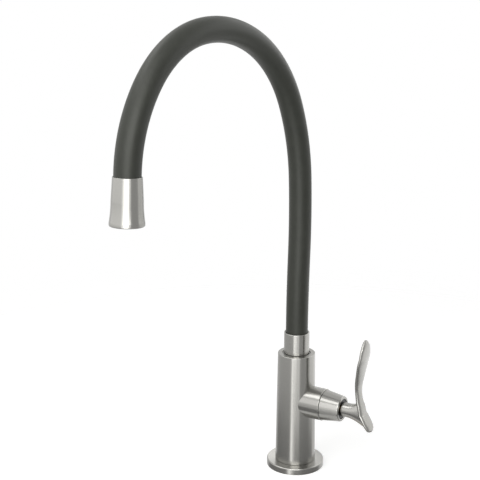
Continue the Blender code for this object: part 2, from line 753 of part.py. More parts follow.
def blade_rings():
    middles = [blade_point(row[0], row[1]) for row in BLADE_STATION_shares]
    rings = []
    for k, row in enumerate(BLADE_STATION_shares):
        before = middles[max(k - 1, 0)]
        after = middles[min(k + 1, len(middles) - 1)]
        run = (after - before).normalized()
        outward = Vector((run.z, 0, -run.x))
        rings.append(oval_ring(middles[k], Vector((0, 1, 0)), outward, LEVER_WIDTH * row[2] / 2,
                               LEVER_THICKNESS * row[3] / 2, SECTION_SQUARENESS))
    return rings


def flare_rings():
    start = stem_x + LEVER_STEM_STRAIGHT
    end = stem_x + LEVER_WAIST_REACH + FOOT_SWEEP_share * LEVER_SWEEP
    rings = [oval_ring(Vector((stem_x, 0, branch_z)), Vector((0, 1, 0)), Vector((0, 0, 1)),
                       LEVER_STEM_RADIUS, LEVER_STEM_RADIUS, 2)]
    for reach, drop, lean, growth in FLARE_SECTION_shares:
        tilt = math.radians(FOOT_LEAN_DEGREES) * lean
        up = Vector((-math.sin(tilt), 0, math.cos(tilt)))
        centre = Vector((start + (end - start) * reach, 0,
                         branch_z - FOOT_DROP_share * LEVER_FOOT_HEIGHT * drop))
        half_height = LEVER_STEM_RADIUS + (LEVER_FOOT_HEIGHT / 2 - LEVER_STEM_RADIUS) * growth
        half_width = LEVER_STEM_RADIUS + (LEVER_FOOT_WIDTH / 2 - LEVER_STEM_RADIUS) * growth
        rings.append(oval_ring(centre, Vector((0, 1, 0)), up, half_width, half_height, 2))
    return rings


def set_screw_place():
    """The screw points at the spindle from the lever's far side."""
    x = stem_x + LEVER_STEM_STRAIGHT / 2
    return (BRANCH_TURN @ Matrix.Translation((x, 0, branch_z))
            @ Matrix.Rotation(-math.pi / 2, 4, "X"))


def make_lever():
    lever = loft("lever_handle", blade_rings(), steel("lever_handle"), BRANCH_TURN)
    boolean(lever, loft("lever_stem", flare_rings(), None, BRANCH_TURN), "UNION")
    boolean(lever, rod("lever_socket", spindle_bore_radius, stem_x - CUT_OVERRUN,
                       stem_x + LEVER_SOCKET_DEPTH, None, ALONG_BRANCH), "DIFFERENCE")
    boolean(lever, rod("set_screw_hole", SET_SCREW_RADIUS + CLEARANCE, 0,
                       LEVER_STEM_RADIUS + CUT_OVERRUN, None, set_screw_place(), FINE_SIDES),
            "DIFFERENCE")
    return lever


def make_set_screw():
    top = LEVER_STEM_RADIUS - SET_SCREW_SET_BACK
    low = SPINDLE_RADIUS + CLEARANCE
    screw = rod("lever_set_screw", SET_SCREW_RADIUS, low, top, steel("lever_set_screw"),
                set_screw_place(), FINE_SIDES)
    key = plate("set_screw_key", [circle_points(SET_SCREW_SOCKET_RADIUS, HOLE_SIDES)],
                top - SET_SCREW_SOCKET_DEPTH, top + CUT_OVERRUN, None, set_screw_place())
    boolean(screw, key, "DIFFERENCE")
    return screw


# Swivel: glide ring, nipple with its rings, snap ring and collar

def snap_ring_middle():
    return recess_floor_z - SOCKET_DEPTH * SNAP_HEIGHT_share


def plug_ring_heights():
    return [recess_floor_z - SOCKET_DEPTH * share for share in PLUG_RING_HEIGHT_shares]


def make_glide_ring():
    return washer("glide_ring", GLIDE_RING_RADIUS, plug_socket_radius, glide_ring_z,
                  glide_ring_z + GLIDE_RING_THICKNESS, grey_plastic("glide_ring"))


def snap_inner_radius():
    return plug_socket_radius + SNAP_RING_BITE - SNAP_RING_WIDTH


def make_nipple():
    """Swivel nipple: a grooved plug in the body, a neck in the collar and a hose barb."""
    barb_top = hose_seat_z + BARB_LENGTH
    neck_top = hose_seat_z - CLEARANCE
    plug_top = collar_base_z - CLEARANCE
    plug_end = socket_floor_z + PLUG_END_GAP
    ring_bottom = ring_seat(plug_socket_radius, PLUG_RING_WIRE)[1]
    profile = [(BARB_BORE_RADIUS, barb_top), (BARB_RADIUS, barb_top)]
    profile += [(BARB_RADIUS, neck_top), (NIPPLE_NECK_RADIUS, neck_top)]
    profile += [(NIPPLE_NECK_RADIUS, plug_top), (PLUG_RADIUS, plug_top)]
    profile += groove(PLUG_RADIUS, snap_ring_middle(), SNAP_RING_THICKNESS + 2 * CLEARANCE,
                      snap_inner_radius() - CLEARANCE)
    for height in plug_ring_heights():
        profile += groove(PLUG_RADIUS, height, PLUG_GROOVE_WIDTH, ring_bottom)
    profile += [(PLUG_RADIUS, plug_end), (BARB_BORE_RADIUS, plug_end)]
    return turned_ring("swivel_nipple", profile, brass("swivel_nipple"), sides=SMALL_SIDES)


def make_plug_rings():
    middle = ring_seat(plug_socket_radius, PLUG_RING_WIRE)[0]
    rings = []
    for number, height in enumerate(plug_ring_heights(), 1):
        name = f"nipple_o_ring_{number}"
        rings.append(turned_ring(name, wire_profile(middle, PLUG_RING_WIRE, height), rubber(name),
                                 sides=SMALL_SIDES))
    return rings


def make_snap_ring():
    half = math.radians(SNAP_RING_OPENING_DEGREES) / 2
    inner = snap_inner_radius()
    outer = inner + SNAP_RING_WIDTH
    outline = arc_points(outer, half, math.tau - half, SMALL_SIDES)
    outline += arc_points(inner, math.tau - half, half, SMALL_SIDES)
    middle = snap_ring_middle()
    return plate("snap_ring", [outline], middle - SNAP_RING_THICKNESS / 2,
                 middle + SNAP_RING_THICKNESS / 2, steel("snap_ring"))


def make_collar():
    hose_bore = HOSE_RADIUS + CLEARANCE
    neck_bore = NIPPLE_NECK_RADIUS + CLEARANCE
    floor = hose_seat_z - CLEARANCE
    profile = [(hose_bore, collar_top_z)]
    profile += top_round(COLLAR_RADIUS, collar_top_z, COLLAR_EDGE_ROUND)
    profile += [(COLLAR_RADIUS, collar_base_z), (neck_bore, collar_base_z), (neck_bore, floor)]
    profile += [(hose_bore, floor)]
    return turned_ring("spout_collar", profile, steel("spout_collar"))


# Hose centreline: arcs of equal length, each with its own bend, tangent to one another

def section_starts():
    """Each section's start as (forward, height, lean), and the hose's end as the last."""
    starts = [(0.0, collar_top_z, 0.0)]
    for degrees in SECTION_BENDS_DEGREES:
        starts.append(arc_end(starts[-1], math.radians(degrees) / section_length, section_length))
    return starts


def arc_end(start, curvature, run):
    forward, height, lean = start
    turned = lean + curvature * run
    if abs(curvature) * HOSE_RADIUS < MERGE_DISTANCE:
        return forward + run * math.sin(lean), height + run * math.cos(lean), turned
    forward += (math.cos(lean) - math.cos(turned)) / curvature
    height += (math.sin(turned) - math.sin(lean)) / curvature
    return forward, height, turned


def hose_frame(run):
    """Centre, sideways, normal and tangent of the hose at a length from the collar's top."""
    starts = section_starts()
    index = min(max(int(run // section_length), 0), section_count - 1)
    curvature = math.radians(SECTION_BENDS_DEGREES[index]) / section_length
    if run < 0:
        forward, height, lean = arc_end(starts[0], 0.0, run)
    elif run > HOSE_LENGTH:
        forward, height, lean = arc_end(starts[-1], 0.0, run - HOSE_LENGTH)
    else:
        forward, height, lean = arc_end(starts[index], curvature, run - index * section_length)
    centre = Vector((0, -forward, height))
    normal = Vector((0, math.cos(lean), math.sin(lean)))
    tangent = Vector((0, -math.sin(lean), math.cos(lean)))
    return centre, Vector((1, 0, 0)), normal, tangent


def hose_point(radius, angle, run):
    centre, sideways, normal, _ = hose_frame(run)
    return centre + sideways * (radius * math.cos(angle)) + normal * (radius * math.sin(angle))


def seam_run(radius, angle, index, sphere_radius):
    """Length along the hose where a generator meets the sphere round a seam's pivot."""
    pivot = hose_frame(index * section_length)[0]
    rise = math.sqrt(sphere_radius ** 2 - radius ** 2)
    run = index * section_length + rise
    slope = rise / sphere_radius
    for _ in range(SEAM_SOLVER_STEPS):
        run += (sphere_radius - (hose_point(radius, angle, run) - pivot).length) / slope
    return run


def section_low(radius, angle, section):
    if section == 0:
        return -COLLAR_HOSE_DEPTH
    return seam_run(radius, angle, section, SEAM_SPHERE_RADIUS + SEAM_GAP)


def section_high(radius, angle, section):
    if section == section_count - 1:
        return HOSE_LENGTH + ferrule_hose_depth
    return seam_run(radius, angle, section + 1, SEAM_SPHERE_RADIUS)


def bend_steps(section, sag):
    """Straight chords that keep a bent section within a sag of its true arc."""
    bend = abs(math.radians(SECTION_BENDS_DEGREES[section]))
    return max(2, math.ceil(math.sqrt(section_length * bend / (8 * sag))))


def tube_section(name, section, outer_side, inner_radius, inner_steps, finish, sides):
    """One hose layer of one section: turned straight at unit height, then laid on the hose."""
    outer = [(radius, 1.0 - share) for radius, share in outer_side]
    inner = [(inner_radius, k / inner_steps) for k in range(inner_steps + 1)]
    mesh = turned_mesh(name, outer + inner, sides, True)
    ends = {}
    for vertex in mesh.vertices:
        radius = math.hypot(vertex.co.x, vertex.co.y)
        angle = math.atan2(vertex.co.y, vertex.co.x)
        key = (round(radius / MERGE_DISTANCE), round(angle * sides / math.tau))
        if key not in ends:
            ends[key] = section_low(radius, angle, section), section_high(radius, angle, section)
        low, high = ends[key]
        vertex.co = hose_point(radius, angle, low + (high - low) * vertex.co.z)
    made = add_object(name, mesh, finish)
    smooth(made)
    return made


def plain_side(radius, steps):
    return [(radius, k / steps) for k in range(steps + 1)]


def ribbed_side():
    """The gooseneck's side: a crest and a valley for each rib, plain at both ends."""
    ribs = round(section_length / GOOSENECK_RIB_PITCH)
    valley = gooseneck_radius - GOOSENECK_RIB_DEPTH
    side = [(valley, 0.0)]
    for k in range(ribs):
        side += [(gooseneck_radius, (k + 0.5) / ribs), (valley, (k + 1) / ribs)]
    return side


def make_hose_section(section):
    number = section + 1
    steps = bend_steps(section, SLEEVE_CHORD_SAG)
    core_steps = bend_steps(section, CORE_CHORD_SAG)
    sleeve_name = f"hose_sleeve_{number}"
    gooseneck_name = f"gooseneck_{number}"
    tube_name = f"water_tube_{number}"
    return [
        tube_section(sleeve_name, section, plain_side(HOSE_RADIUS, steps), sleeve_bore_radius,
                     steps, silicone(sleeve_name), SLEEVE_SIDES),
        tube_section(gooseneck_name, section, ribbed_side(), gooseneck_bore_radius,
                     core_steps, steel(gooseneck_name), GOOSENECK_SIDES),
        tube_section(tube_name, section, plain_side(WATER_TUBE_RADIUS, core_steps),
                     water_tube_bore_radius, core_steps, rubber(tube_name), WATER_TUBE_SIDES),
    ]


# Outlet, turned along the hose's end

def outlet_place():
    centre, sideways, normal, tangent = hose_frame(HOSE_LENGTH)
    turn = Matrix((sideways, normal, tangent)).transposed().to_4x4()
    return Matrix.Translation(centre) @ turn


AT_OUTLET = outlet_place()


def make_ferrule():
    """A long slim bell: a gentle cone, then a concave flare to its widest."""
    hose_bore = HOSE_RADIUS + CLEARANCE
    aerator_bore = AERATOR_RADIUS + CLEARANCE
    step = aerator_start - CLEARANCE
    profile = [(aerator_bore, FERRULE_LENGTH)]
    profile += top_round(FERRULE_RADIUS, FERRULE_LENGTH, FERRULE_EDGE_ROUND)
    for share in FERRULE_FLARE_shares:
        widening = (1 - share) ** 2
        profile.append((FERRULE_WAIST_RADIUS + (FERRULE_RADIUS - FERRULE_WAIST_RADIUS) * widening,
                        FERRULE_LENGTH * (FERRULE_LAND_share - share * FERRULE_BELL_share)))
    profile += [(FERRULE_TOP_RADIUS, 0), (hose_bore, 0), (hose_bore, step), (aerator_bore, step)]
    return turned_ring("outlet_ferrule", profile, steel("outlet_ferrule"), AT_OUTLET)


def make_connector():
    """Hose-end fitting: a barb up into the water tube and a plug threaded into the ferrule."""
    barb_top = connector_start - BARB_LENGTH
    profile = [(BARB_BORE_RADIUS, connector_end), (CONNECTOR_RADIUS, connector_end)]
    profile += [(CONNECTOR_RADIUS, connector_start), (BARB_RADIUS, connector_start)]
    profile += [(BARB_RADIUS, barb_top), (BARB_BORE_RADIUS, barb_top)]
    return turned_ring("outlet_connector", profile, brass("outlet_connector"), AT_OUTLET,
                       SMALL_SIDES)


def make_aerator_washer():
    return washer("aerator_washer", CONNECTOR_RADIUS, CONNECTOR_RADIUS - AERATOR_WASHER_WIDTH,
                  aerator_washer_start, aerator_washer_start + AERATOR_WASHER_THICKNESS,
                  rubber("aerator_washer"), AT_OUTLET, SMALL_SIDES)


def make_aerator_housing():
    bore = AERATOR_RADIUS - AERATOR_WALL
    lip_bore = bore - AERATOR_LIP
    lip_top = aerator_end - AERATOR_LIP
    profile = [(lip_bore, aerator_end), (AERATOR_RADIUS, aerator_end)]
    profile += [(AERATOR_RADIUS, aerator_start), (bore, aerator_start), (bore, lip_top)]
    profile += [(lip_bore, lip_top)]
    return turned_ring("aerator_housing", profile, steel("aerator_housing"), AT_OUTLET,
                       SMALL_SIDES)


def make_aerator_insert():
    """Flow straightener: a disc with a honeycomb of holes."""
    radius = AERATOR_RADIUS - AERATOR_WALL - CLEARANCE
    low = aerator_end - AERATOR_LIP - CLEARANCE - AERATOR_INSERT_THICKNESS
    outlines = [circle_points(radius, SMALL_SIDES)]
    reach = int(radius // AERATOR_HOLE_PITCH)
    for row in range(-reach, reach + 1):
        for column in range(-reach, reach + 1):
            x = AERATOR_HOLE_PITCH * (column + row / 2)
            y = AERATOR_HOLE_PITCH * row * math.sqrt(3) / 2
            if math.hypot(x, y) + 2 * AERATOR_HOLE_RADIUS < radius:
                outlines.append(circle_points(AERATOR_HOLE_RADIUS, HOLE_SIDES, (x, y)))
    return plate("aerator_insert", outlines, low, low + AERATOR_INSERT_THICKNESS,
                 black_plastic("aerator_insert"), AT_OUTLET)


# Pivots: one empty on each joint's axis, in a chain from the pillar to the outlet

def add_pivot(name, location, parent=None):
    pivot = bpy.data.objects.new(name, None)
    pivot.empty_display_size = HOSE_RADIUS
    faucet.objects.link(pivot)
    pivot.location = location
    if parent:
        attach([pivot], parent)
    return pivot


def attach(things, parent):
    """Parent pieces without moving them."""
    bpy.context.view_layer.update()
    for thing in things:
        thing.parent = parent
        thing.matrix_parent_inverse = parent.matrix_world.inverted()


def build():
    make_flange()
    make_gasket()
    make_shank()
    make_shank_seal()
    make_clamp()
    make_body()
    make_glide_ring()
    make_seat_seal()
    fixed_disc, moving_disc = make_discs()
    make_housing()
    make_housing_ring()
    make_bonnet()
    make_bush()

    lever_pivot = add_pivot("lever_pivot", (0, 0, branch_z))
    attach([moving_disc, make_spindle(), make_spindle_ring(), make_lever(), make_set_screw()],
           lever_pivot)

    pivot = add_pivot("spout_swivel", (0, 0, recess_floor_z))
    attach([make_nipple(), make_snap_ring(), make_collar()] + make_plug_rings(), pivot)
    for section in range(section_count):
        if section:
            seam = hose_frame(section * section_length)[0]
            pivot = add_pivot(f"hose_seam_{section}", seam, pivot)
        attach(make_hose_section(section), pivot)
    attach([make_ferrule(), make_connector(), make_aerator_washer(), make_aerator_housing(),
            make_aerator_insert()], pivot)


build()
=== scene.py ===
"""Looks of the flexible kitchen faucet: finely turned pieces, their finishes and a small studio.

Metres, +Z up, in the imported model's own frame: the deck's top face is z = 0, the spout reaches
toward -Y and the lever's stem points toward +X, turned back a little.
"""
import json
import math

import bmesh
import bpy
from mathutils import Matrix, Vector

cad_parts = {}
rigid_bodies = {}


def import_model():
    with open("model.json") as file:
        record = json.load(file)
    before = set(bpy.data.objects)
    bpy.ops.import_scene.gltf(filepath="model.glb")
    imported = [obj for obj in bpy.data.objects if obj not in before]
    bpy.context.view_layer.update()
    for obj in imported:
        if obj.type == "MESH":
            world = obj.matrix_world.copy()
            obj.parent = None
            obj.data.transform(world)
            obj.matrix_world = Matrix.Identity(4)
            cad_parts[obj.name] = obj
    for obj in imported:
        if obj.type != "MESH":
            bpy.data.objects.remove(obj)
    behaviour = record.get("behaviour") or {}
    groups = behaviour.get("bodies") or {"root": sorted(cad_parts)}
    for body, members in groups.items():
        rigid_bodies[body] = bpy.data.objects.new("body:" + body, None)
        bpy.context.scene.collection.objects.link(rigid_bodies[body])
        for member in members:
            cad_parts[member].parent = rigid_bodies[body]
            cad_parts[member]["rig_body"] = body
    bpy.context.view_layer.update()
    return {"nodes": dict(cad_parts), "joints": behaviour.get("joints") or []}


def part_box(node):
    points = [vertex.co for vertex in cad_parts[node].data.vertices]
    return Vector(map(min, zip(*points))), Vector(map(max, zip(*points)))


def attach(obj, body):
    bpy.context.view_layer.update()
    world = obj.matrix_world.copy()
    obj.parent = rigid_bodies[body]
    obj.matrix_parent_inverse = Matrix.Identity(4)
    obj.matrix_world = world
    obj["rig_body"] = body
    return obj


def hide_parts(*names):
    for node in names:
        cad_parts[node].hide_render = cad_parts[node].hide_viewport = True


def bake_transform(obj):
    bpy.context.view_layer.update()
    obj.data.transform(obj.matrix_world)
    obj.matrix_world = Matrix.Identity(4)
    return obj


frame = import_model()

bl_info = {
    "name": "Flexible kitchen faucet",
    "version": (1, 0, 0),
    "blender": (4, 5, 0),
    "location": "3D View > Sidebar > Faucet",
    "description": "Builds the visible pieces, finishes and studio of a flexible kitchen faucet",
    "category": "Object",
}

FITS = {name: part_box(name) for name in frame["nodes"]}
LEVER_JOINT = next(joint for joint in frame["joints"] if joint["name"] == "lever_turn")
UPRIGHT = Matrix.Identity(4)
BRANCH_TURN = Matrix.Rotation(math.atan2(LEVER_JOINT["axis"][1], LEVER_JOINT["axis"][0]), 4, "Z")

# Fits that every piece shares with the solids. SEATED keeps two faces that touch from lying in
# one plane, and CUT_OVERRUN carries a cut past the face that it opens.
CLEARANCE = 0.0003
SWIVEL_CLEARANCE = 0.0005
SEATED = 0.00006
CUT_OVERRUN = 0.001

# Rounding of a thin lip, of a deburred edge and of an eased outer edge
THIN_EDGE = 0.0002
BROKEN_EDGE = 0.0003
EASED_EDGE = 0.0005

# Shank, and the hole for it in the flange, washers, nut and body
SHANK_HOLE = 0.0107
SHANK_BORE = 0.0070
SHANK_SEAT_DEPTH = 0.014
SHANK_END_CHAMFER = 0.0010
THREAD_DEPTH_PER_PITCH = 0.64
THREAD_SLOPE = 2.5
THREAD_HALF_CREST = 0.125
THREAD_ROWS = 6
GASKET_GROOVE_INNER = 0.0202
GASKET_GROOVE_OUTER = 0.0253
GASKET_GROOVE_DEPTH = 0.0021
NUT_ACROSS_FLATS = 0.0300
NUT_FACE_RADIUS = 0.0140
NUT_CHAMFER = 0.0012

# Swivel socket in the pillar's top, and the glide ring's recess round it
SOCKET_RADIUS = 0.0115
SOCKET_DEPTH = 0.0205
RECESS_RADIUS = 0.0141
RECESS_DEPTH = 0.0018
NIPPLE_BORE = 0.0089

# Branch: pocket for the valve, nut, ring round the stem, stem and set screw
BOSS_EDGE = 0.0007
POCKET_RADIUS = 0.0121
POCKET_PAST_AXIS = 0.0040
NECK_BORE = 0.0091
SPINDLE_BORE = 0.0041
BONNET_JOINT = 0.0004
BONNET_FRONT_ROUND = 0.0013
BONNET_BACK_ROUND = 0.0006
BUSH_LENGTH = 0.0040
BUSH_SET_BACK = 0.0004
STEM_GAP = 0.0006
STEM_STRAIGHT = 0.0075
STEM_LAST_RING = 0.0002
WAIST_REACH = 0.0157
LEVER_SOCKET_DEPTH = 0.0120
FOOT_HEIGHT = 0.0300
FOOT_WIDTH = 0.0140
FOOT_LEAN_DEGREES = 21.0
FOOT_DROP_SHARE = 0.05
FOOT_CURL_SHARE = 0.40
SCREW_RADIUS = 0.0020
SCREW_HOLE_RADIUS = 0.0023
SCREW_SINK = 0.0006
SCREW_SET_BACK = 0.0004
SCREW_KEY_RADIUS = 0.0011
SCREW_KEY_DEPTH = 0.0014

# Hose: depth in the collar and in the ferrule, its inner layers, the distance between its
# rings, how near a close pair of rings is, how far a blend keeps from the next, how near its
# line passes each joint, and the bend of each of its seven sections in degrees
HOSE_IN_COLLAR = 0.0140
HOSE_IN_FERRULE = 0.0120
STRIP_THICKNESS = 0.0021
STRIP_WAVE = 0.00045
TUBE_RADIUS = 0.0052
TUBE_BORE = 0.0039
RING_STEP = 0.0025
STEPS_PER_RIB = 6
HEM = 0.0004
BLEND_MARGIN = 0.005
JOINT_TOLERANCE = 0.0002
SECTION_BENDS = (-3.0, 6.0, 22.0, 37.0, 35.0, 44.0, 36.0)

# Ferrule and aerator, measured from the hose's end
FERRULE_TOP_RADIUS = 0.0119
FERRULE_WAIST_RADIUS = 0.0129
FERRULE_STEP = 0.0259
MOUTH_EDGE = 0.0011
BELL_START = 0.48
BELL_END = 0.93
BELL_STEPS = 14
MOUTH_LIP = 0.0004
AERATOR_START = 0.0262
AERATOR_RADIUS = 0.0118
AERATOR_WALL = 0.0018
AERATOR_LIP = 0.0010
AERATOR_EDGE = 0.0004
AERATOR_SET_BACK = 0.0007
KEY_NOTCH = (0.0022, 0.0020, 0.0016)
KEY_NOTCH_SINK = 0.0004
KEY_NOTCHES = 4
INSERT_THICKNESS = 0.0050
INSERT_PITCH = 0.0019
INSERT_HOLE_RADIUS = 0.00088
INSERT_RIM = 0.0012

# Facets round a turned piece, a small one, the hose and its core, steps in a rounded edge and
# between two stations of the lever, the angle from which an edge is drawn sharp, and how near
# two points are one
ROUND_SIDES = 128
SMALL_SIDES = 64
HOSE_SIDES = 56
CORE_SIDES = 24
EDGE_STEPS = 5
BLADE_STEPS = 5
FLARE_STEPS = 6
SHARP_DEGREES = 32.0
PLATE_WELD = 0.000005
THREAD_WELD = 0.000002

# Stations along the lever's blade, lowest first: height as a share of the drop below the stem
# or of the rise above it, outward curl as a share of the sweep, width and thickness as shares
# of the largest. Its section lies between an ellipse, 2, and a box.
BLADE_SQUARENESS = 2.3
BLADE_STATIONS = (
    (-1.00, 1.00, 0.17, 0.45),
    (-0.90, 0.94, 0.52, 0.75),
    (-0.67, 0.81, 0.67, 0.95),
    (-0.30, 0.55, 0.70, 1.00),
    (0.04, 0.29, 0.64, 0.97),
    (0.155, 0.115, 0.545, 0.93),
    (0.235, 0.04, 0.505, 0.90),
    (0.315, 0.00, 0.535, 0.88),
    (0.40, 0.015, 0.67, 0.88),
    (0.485, 0.075, 0.80, 0.90),
    (0.575, 0.15, 0.89, 0.92),
    (0.69, 0.25, 1.00, 0.95),
    (0.78, 0.355, 0.965, 0.96),
    (0.865, 0.39, 0.87, 0.96),
    (0.925, 0.405, 0.675, 0.93),
    (0.972, 0.40, 0.37, 0.78),
    (1.00, 0.40, 0.16, 0.45),
)

# Sections of the flare between the lever's stem and its blade: reach, drop, lean and growth
FLARE_SECTIONS = (
    (0.00, 0.00, 0.00, 0.00),
    (0.30, 0.07, 0.18, 0.14),
    (0.58, 0.30, 0.48, 0.38),
    (0.82, 0.65, 0.78, 0.70),
    (1.00, 1.00, 1.00, 1.00),
)

# Moulded and lapped pieces: colour, roughness, IOR, grain as drawn and its depth in metres
MOULDED = {
    # NBR, moulded: matt black with a faint bloom. Its 0.15 mm grain is drawn at 0.3 mm to show.
    "nitrile_rubber_moulded": ("rubber", 0.62, 1.52, 0.0003, 0.000010),
    # EPDM, extruded: the matt black water tube, with the drag marks of its die, 0.6 mm long
    "epdm_rubber_extruded": ("rubber", 0.58, 1.50, 0.0006, 0.000008),
    # Black acetal, moulded: smooth and slightly glossy, with 0.2 mm mould grain
    "acetal_black_moulded": ("acetal", 0.38, 1.48, 0.0002, 0.000003),
    # Grey acetal, moulded: the dull glide ring, with 0.2 mm mould grain
    "acetal_grey_moulded": ("glide", 0.45, 1.48, 0.0002, 0.000003),
    # 96 % alumina, lapped: off-white, very flat, soft shine. 0.02 mm grain, drawn at 0.2 mm.
    "alumina_lapped": ("alumina", 0.22, 1.76, 0.0002, 0.000001),
}

# Middle range of a noise, which is spread over the range wanted, and the radius that the
# brushing takes every turned piece to have
NOISE_LOW = 0.3
NOISE_HIGH = 0.7
BRUSHED_RADIUS = 0.015

# Lamps that the diffuse surfaces see: azimuth, distance, height, width, tall, power's name.
# They aim at the middle of the faucet.
LAMP_AIM = Vector((0, -0.1, 0.2))
LAMPS = {
    "key_lamp": (0, 1.3, 1.0, 1.0, 1.2, "key"),
    "fill_lamp": (120, 1.3, 0.7, 0.8, 1.2, "fill"),
    "top_lamp": (-60, 0.3, 1.5, 1.2, 1.2, "top"),
}

# Cards that only the gloss sees: azimuths, heights, radiance, distance, and centre where that
# isn't the pillar. In order they give the pillar's bright stripe, its plain front, the light on
# the flange's front, the dark band at the right, the hose's right edge, the grey of the
# pillar's left, the arch's left, the arch's top, the pillar's back edge, the darker foot at the
# left and the right, the ferrule's bright front and the flange's bright left rim.
PILLAR = (0.0, 0.0)
SPOUT_END = (0.0, -0.235)
FLANGE_LEFT = (-0.0235, -0.0158)
CARDS = {
    "stripe_card": ((6, 17), (-1.2, 0.6), 2.3, 1.3),
    "front_card": ((17, 56), (-1.2, 0.6), 1.5, 1.32),
    "foot_card": ((8, 60), (0.45, 1.25), 5.5, 1.30),
    "dark_card": ((56, 118), (-1.4, 1.6), 0.66, 1.36),
    "upper_right_card": ((112, 200), (0.3, 1.6), 1.9, 1.38),
    "low_left_card": ((-125, 5), (-1.0, -0.1), 0.80, 1.38),
    "upper_left_card": ((-80, 30), (0.10, 1.25), 1.6, 1.38),
    "overhead_card": ((-110, 60), (1.3, 2.7), 3.6, 1.15),
    "near_right_card": ((116, 190), (-0.06, 0.17), 1.4, 0.32),
    "left_skirt_card": ((-100, 6), (-0.34, -0.06), 0.32, 0.35),
    "right_skirt_card": ((19, 150), (-0.34, -0.08), 0.30, 0.35),
    "ferrule_card": ((19, 54), (-0.03, 0.38), 4.4, 0.4, SPOUT_END),
    "flange_card": ((-160, -130), (0.05, 0.15), 2.1, 0.25, FLANGE_LEFT),
}
CARD_STEPS = 24
CARD_FADE = (0.40, 0.5)

# Floor: radius and sides, where it starts and ends to fade, and how much light makes it white
FLOOR_RADIUS = 0.85
FLOOR_SIDES = 96
FLOOR_FADE = (0.35, 0.80)
FLOOR_LIFT = 0.57

# Camera fitted to the photograph: 13.7 degrees down and 37.3 degrees round the pillar
CAMERA_PLACE = (0.528831, -0.787716, 0.467735)
CAMERA_DOWN = 0.240
CAMERA_ROUND = 0.651

WHITE = (1.0, 1.0, 1.0, 1.0)


# Colours and settings

def linear(code):
    """Turn an sRGB hex colour to the linear one that shaders take."""
    parts = [int(code[k:k + 2], 16) / 255 for k in (1, 3, 5)]
    return tuple(p / 12.92 if p <= 0.04045 else ((p + 0.055) / 1.055) ** 2.4 for p in parts)


def length(name, metres, description):
    return bpy.props.FloatProperty(name=name, description=description, default=metres, min=0.0,
                                   unit="LENGTH", subtype="DISTANCE", precision=5)


def colour(name, code, description):
    return bpy.props.FloatVectorProperty(name=name, description=description, size=3, min=0.0,
                                         max=1.0, default=linear(code), subtype="COLOR")


def amount(name, value, description, **kind):
    return bpy.props.FloatProperty(name=name, description=description, default=value, min=0.0,
                                   **kind)


class FaucetSizes(bpy.types.PropertyGroup):
    """Sizes of the visible pieces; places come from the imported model."""
    flange_radius: length("Flange radius", FITS["base_flange"][1].x,
                          "Radius of the round flange on the deck")
    flange_thickness: length("Flange thickness", FITS["base_flange"][1].z,
                             "Height of the flange above the deck")
    flange_edge: length("Flange edge", 0.0011, "Rounding of the flange's upper edge")
    body_base_radius: length("Body radius at the base", 0.0203, "Pillar radius on the flange")
    body_top_radius: length("Body radius at the top", 0.0187, "Pillar radius at its rim")
    body_edge: length("Body edge", 0.0006, "Rounding of the pillar's rim")
    branch_height: length("Branch height", LEVER_JOINT["pos_m"][2],
                          "Height of the lever's axis above the deck")
    boss_radius: length("Boss radius", 0.0160, "Radius of the side boss that holds the valve")
    boss_reach: length("Boss reach", 0.0328, "Distance from the pillar's axis to the boss's end")
    bonnet_back: length("Bonnet back radius", 0.0154, "Radius of the tapered nut at the boss")
    bonnet_front: length("Bonnet front radius", 0.0126, "Radius of the nut at its front")
    bonnet_length: length("Bonnet length", 0.0194, "Length of the nut on the boss")
    bush_radius: length("Bush radius", 0.0096, "Outer radius of the black ring round the stem")
    collar_radius: length("Collar radius", FITS["spout_collar"][1].x,
                          "Radius of the collar that the hose stands in")
    hose_radius: length("Hose radius", 0.0110, "Outer radius of the silicone sleeve")
    sleeve_wall: length("Sleeve wall", 0.0024, "Thickness of the silicone sleeve")
    hose_length: length("Hose length", 0.540, "Hose between the collar and the ferrule")
    rib_pitch: length("Gooseneck pitch", 0.0040, "Pitch of the wound strip inside the hose")
    stem_radius: length("Lever stem radius", 0.0072, "Radius of the lever's round stem")
    blade_width: length("Blade width", 0.0235, "Largest width of the lever's blade")
    blade_thickness: length("Blade thickness", 0.0054, "Largest thickness of the blade")
    blade_rise: length("Blade rise", 0.0753, "Blade's height above the lever's axis")
    blade_drop: length("Blade drop", 0.0170, "Blade's depth below the lever's axis")
    blade_sweep: length("Blade sweep", 0.0145, "How far the blade's tips curl outward")
    ferrule_length: length("Ferrule length", 0.0387, "Length of the slim outlet bell")
    ferrule_radius: length("Ferrule radius", 0.0143, "Radius of the outlet bell's mouth")
    thread_pitch: length("Shank thread pitch", 0.001814, "Pitch of a half-inch pipe thread")


class FaucetFinish(bpy.types.PropertyGroup):
    """Colours of the pieces as they look under plain white light."""
    steel: colour("Satin steel", "#9A9995", "Finely brushed stainless steel")
    brass: colour("Brass", "#C6A35B", "Machined brass of the hidden fittings")
    silicone: colour("Silicone", "#3B3D36", "Dark olive grey extruded silicone")
    rubber: colour("Rubber", "#2A2A28", "Moulded sealing rubber")
    acetal: colour("Black acetal", "#1C1C1B", "Moulded ring round the lever's stem")
    glide: colour("Grey acetal", "#9A9A96", "Moulded glide ring under the collar")
    alumina: colour("Alumina", "#E4E1D8", "Lapped ceramic valve discs")


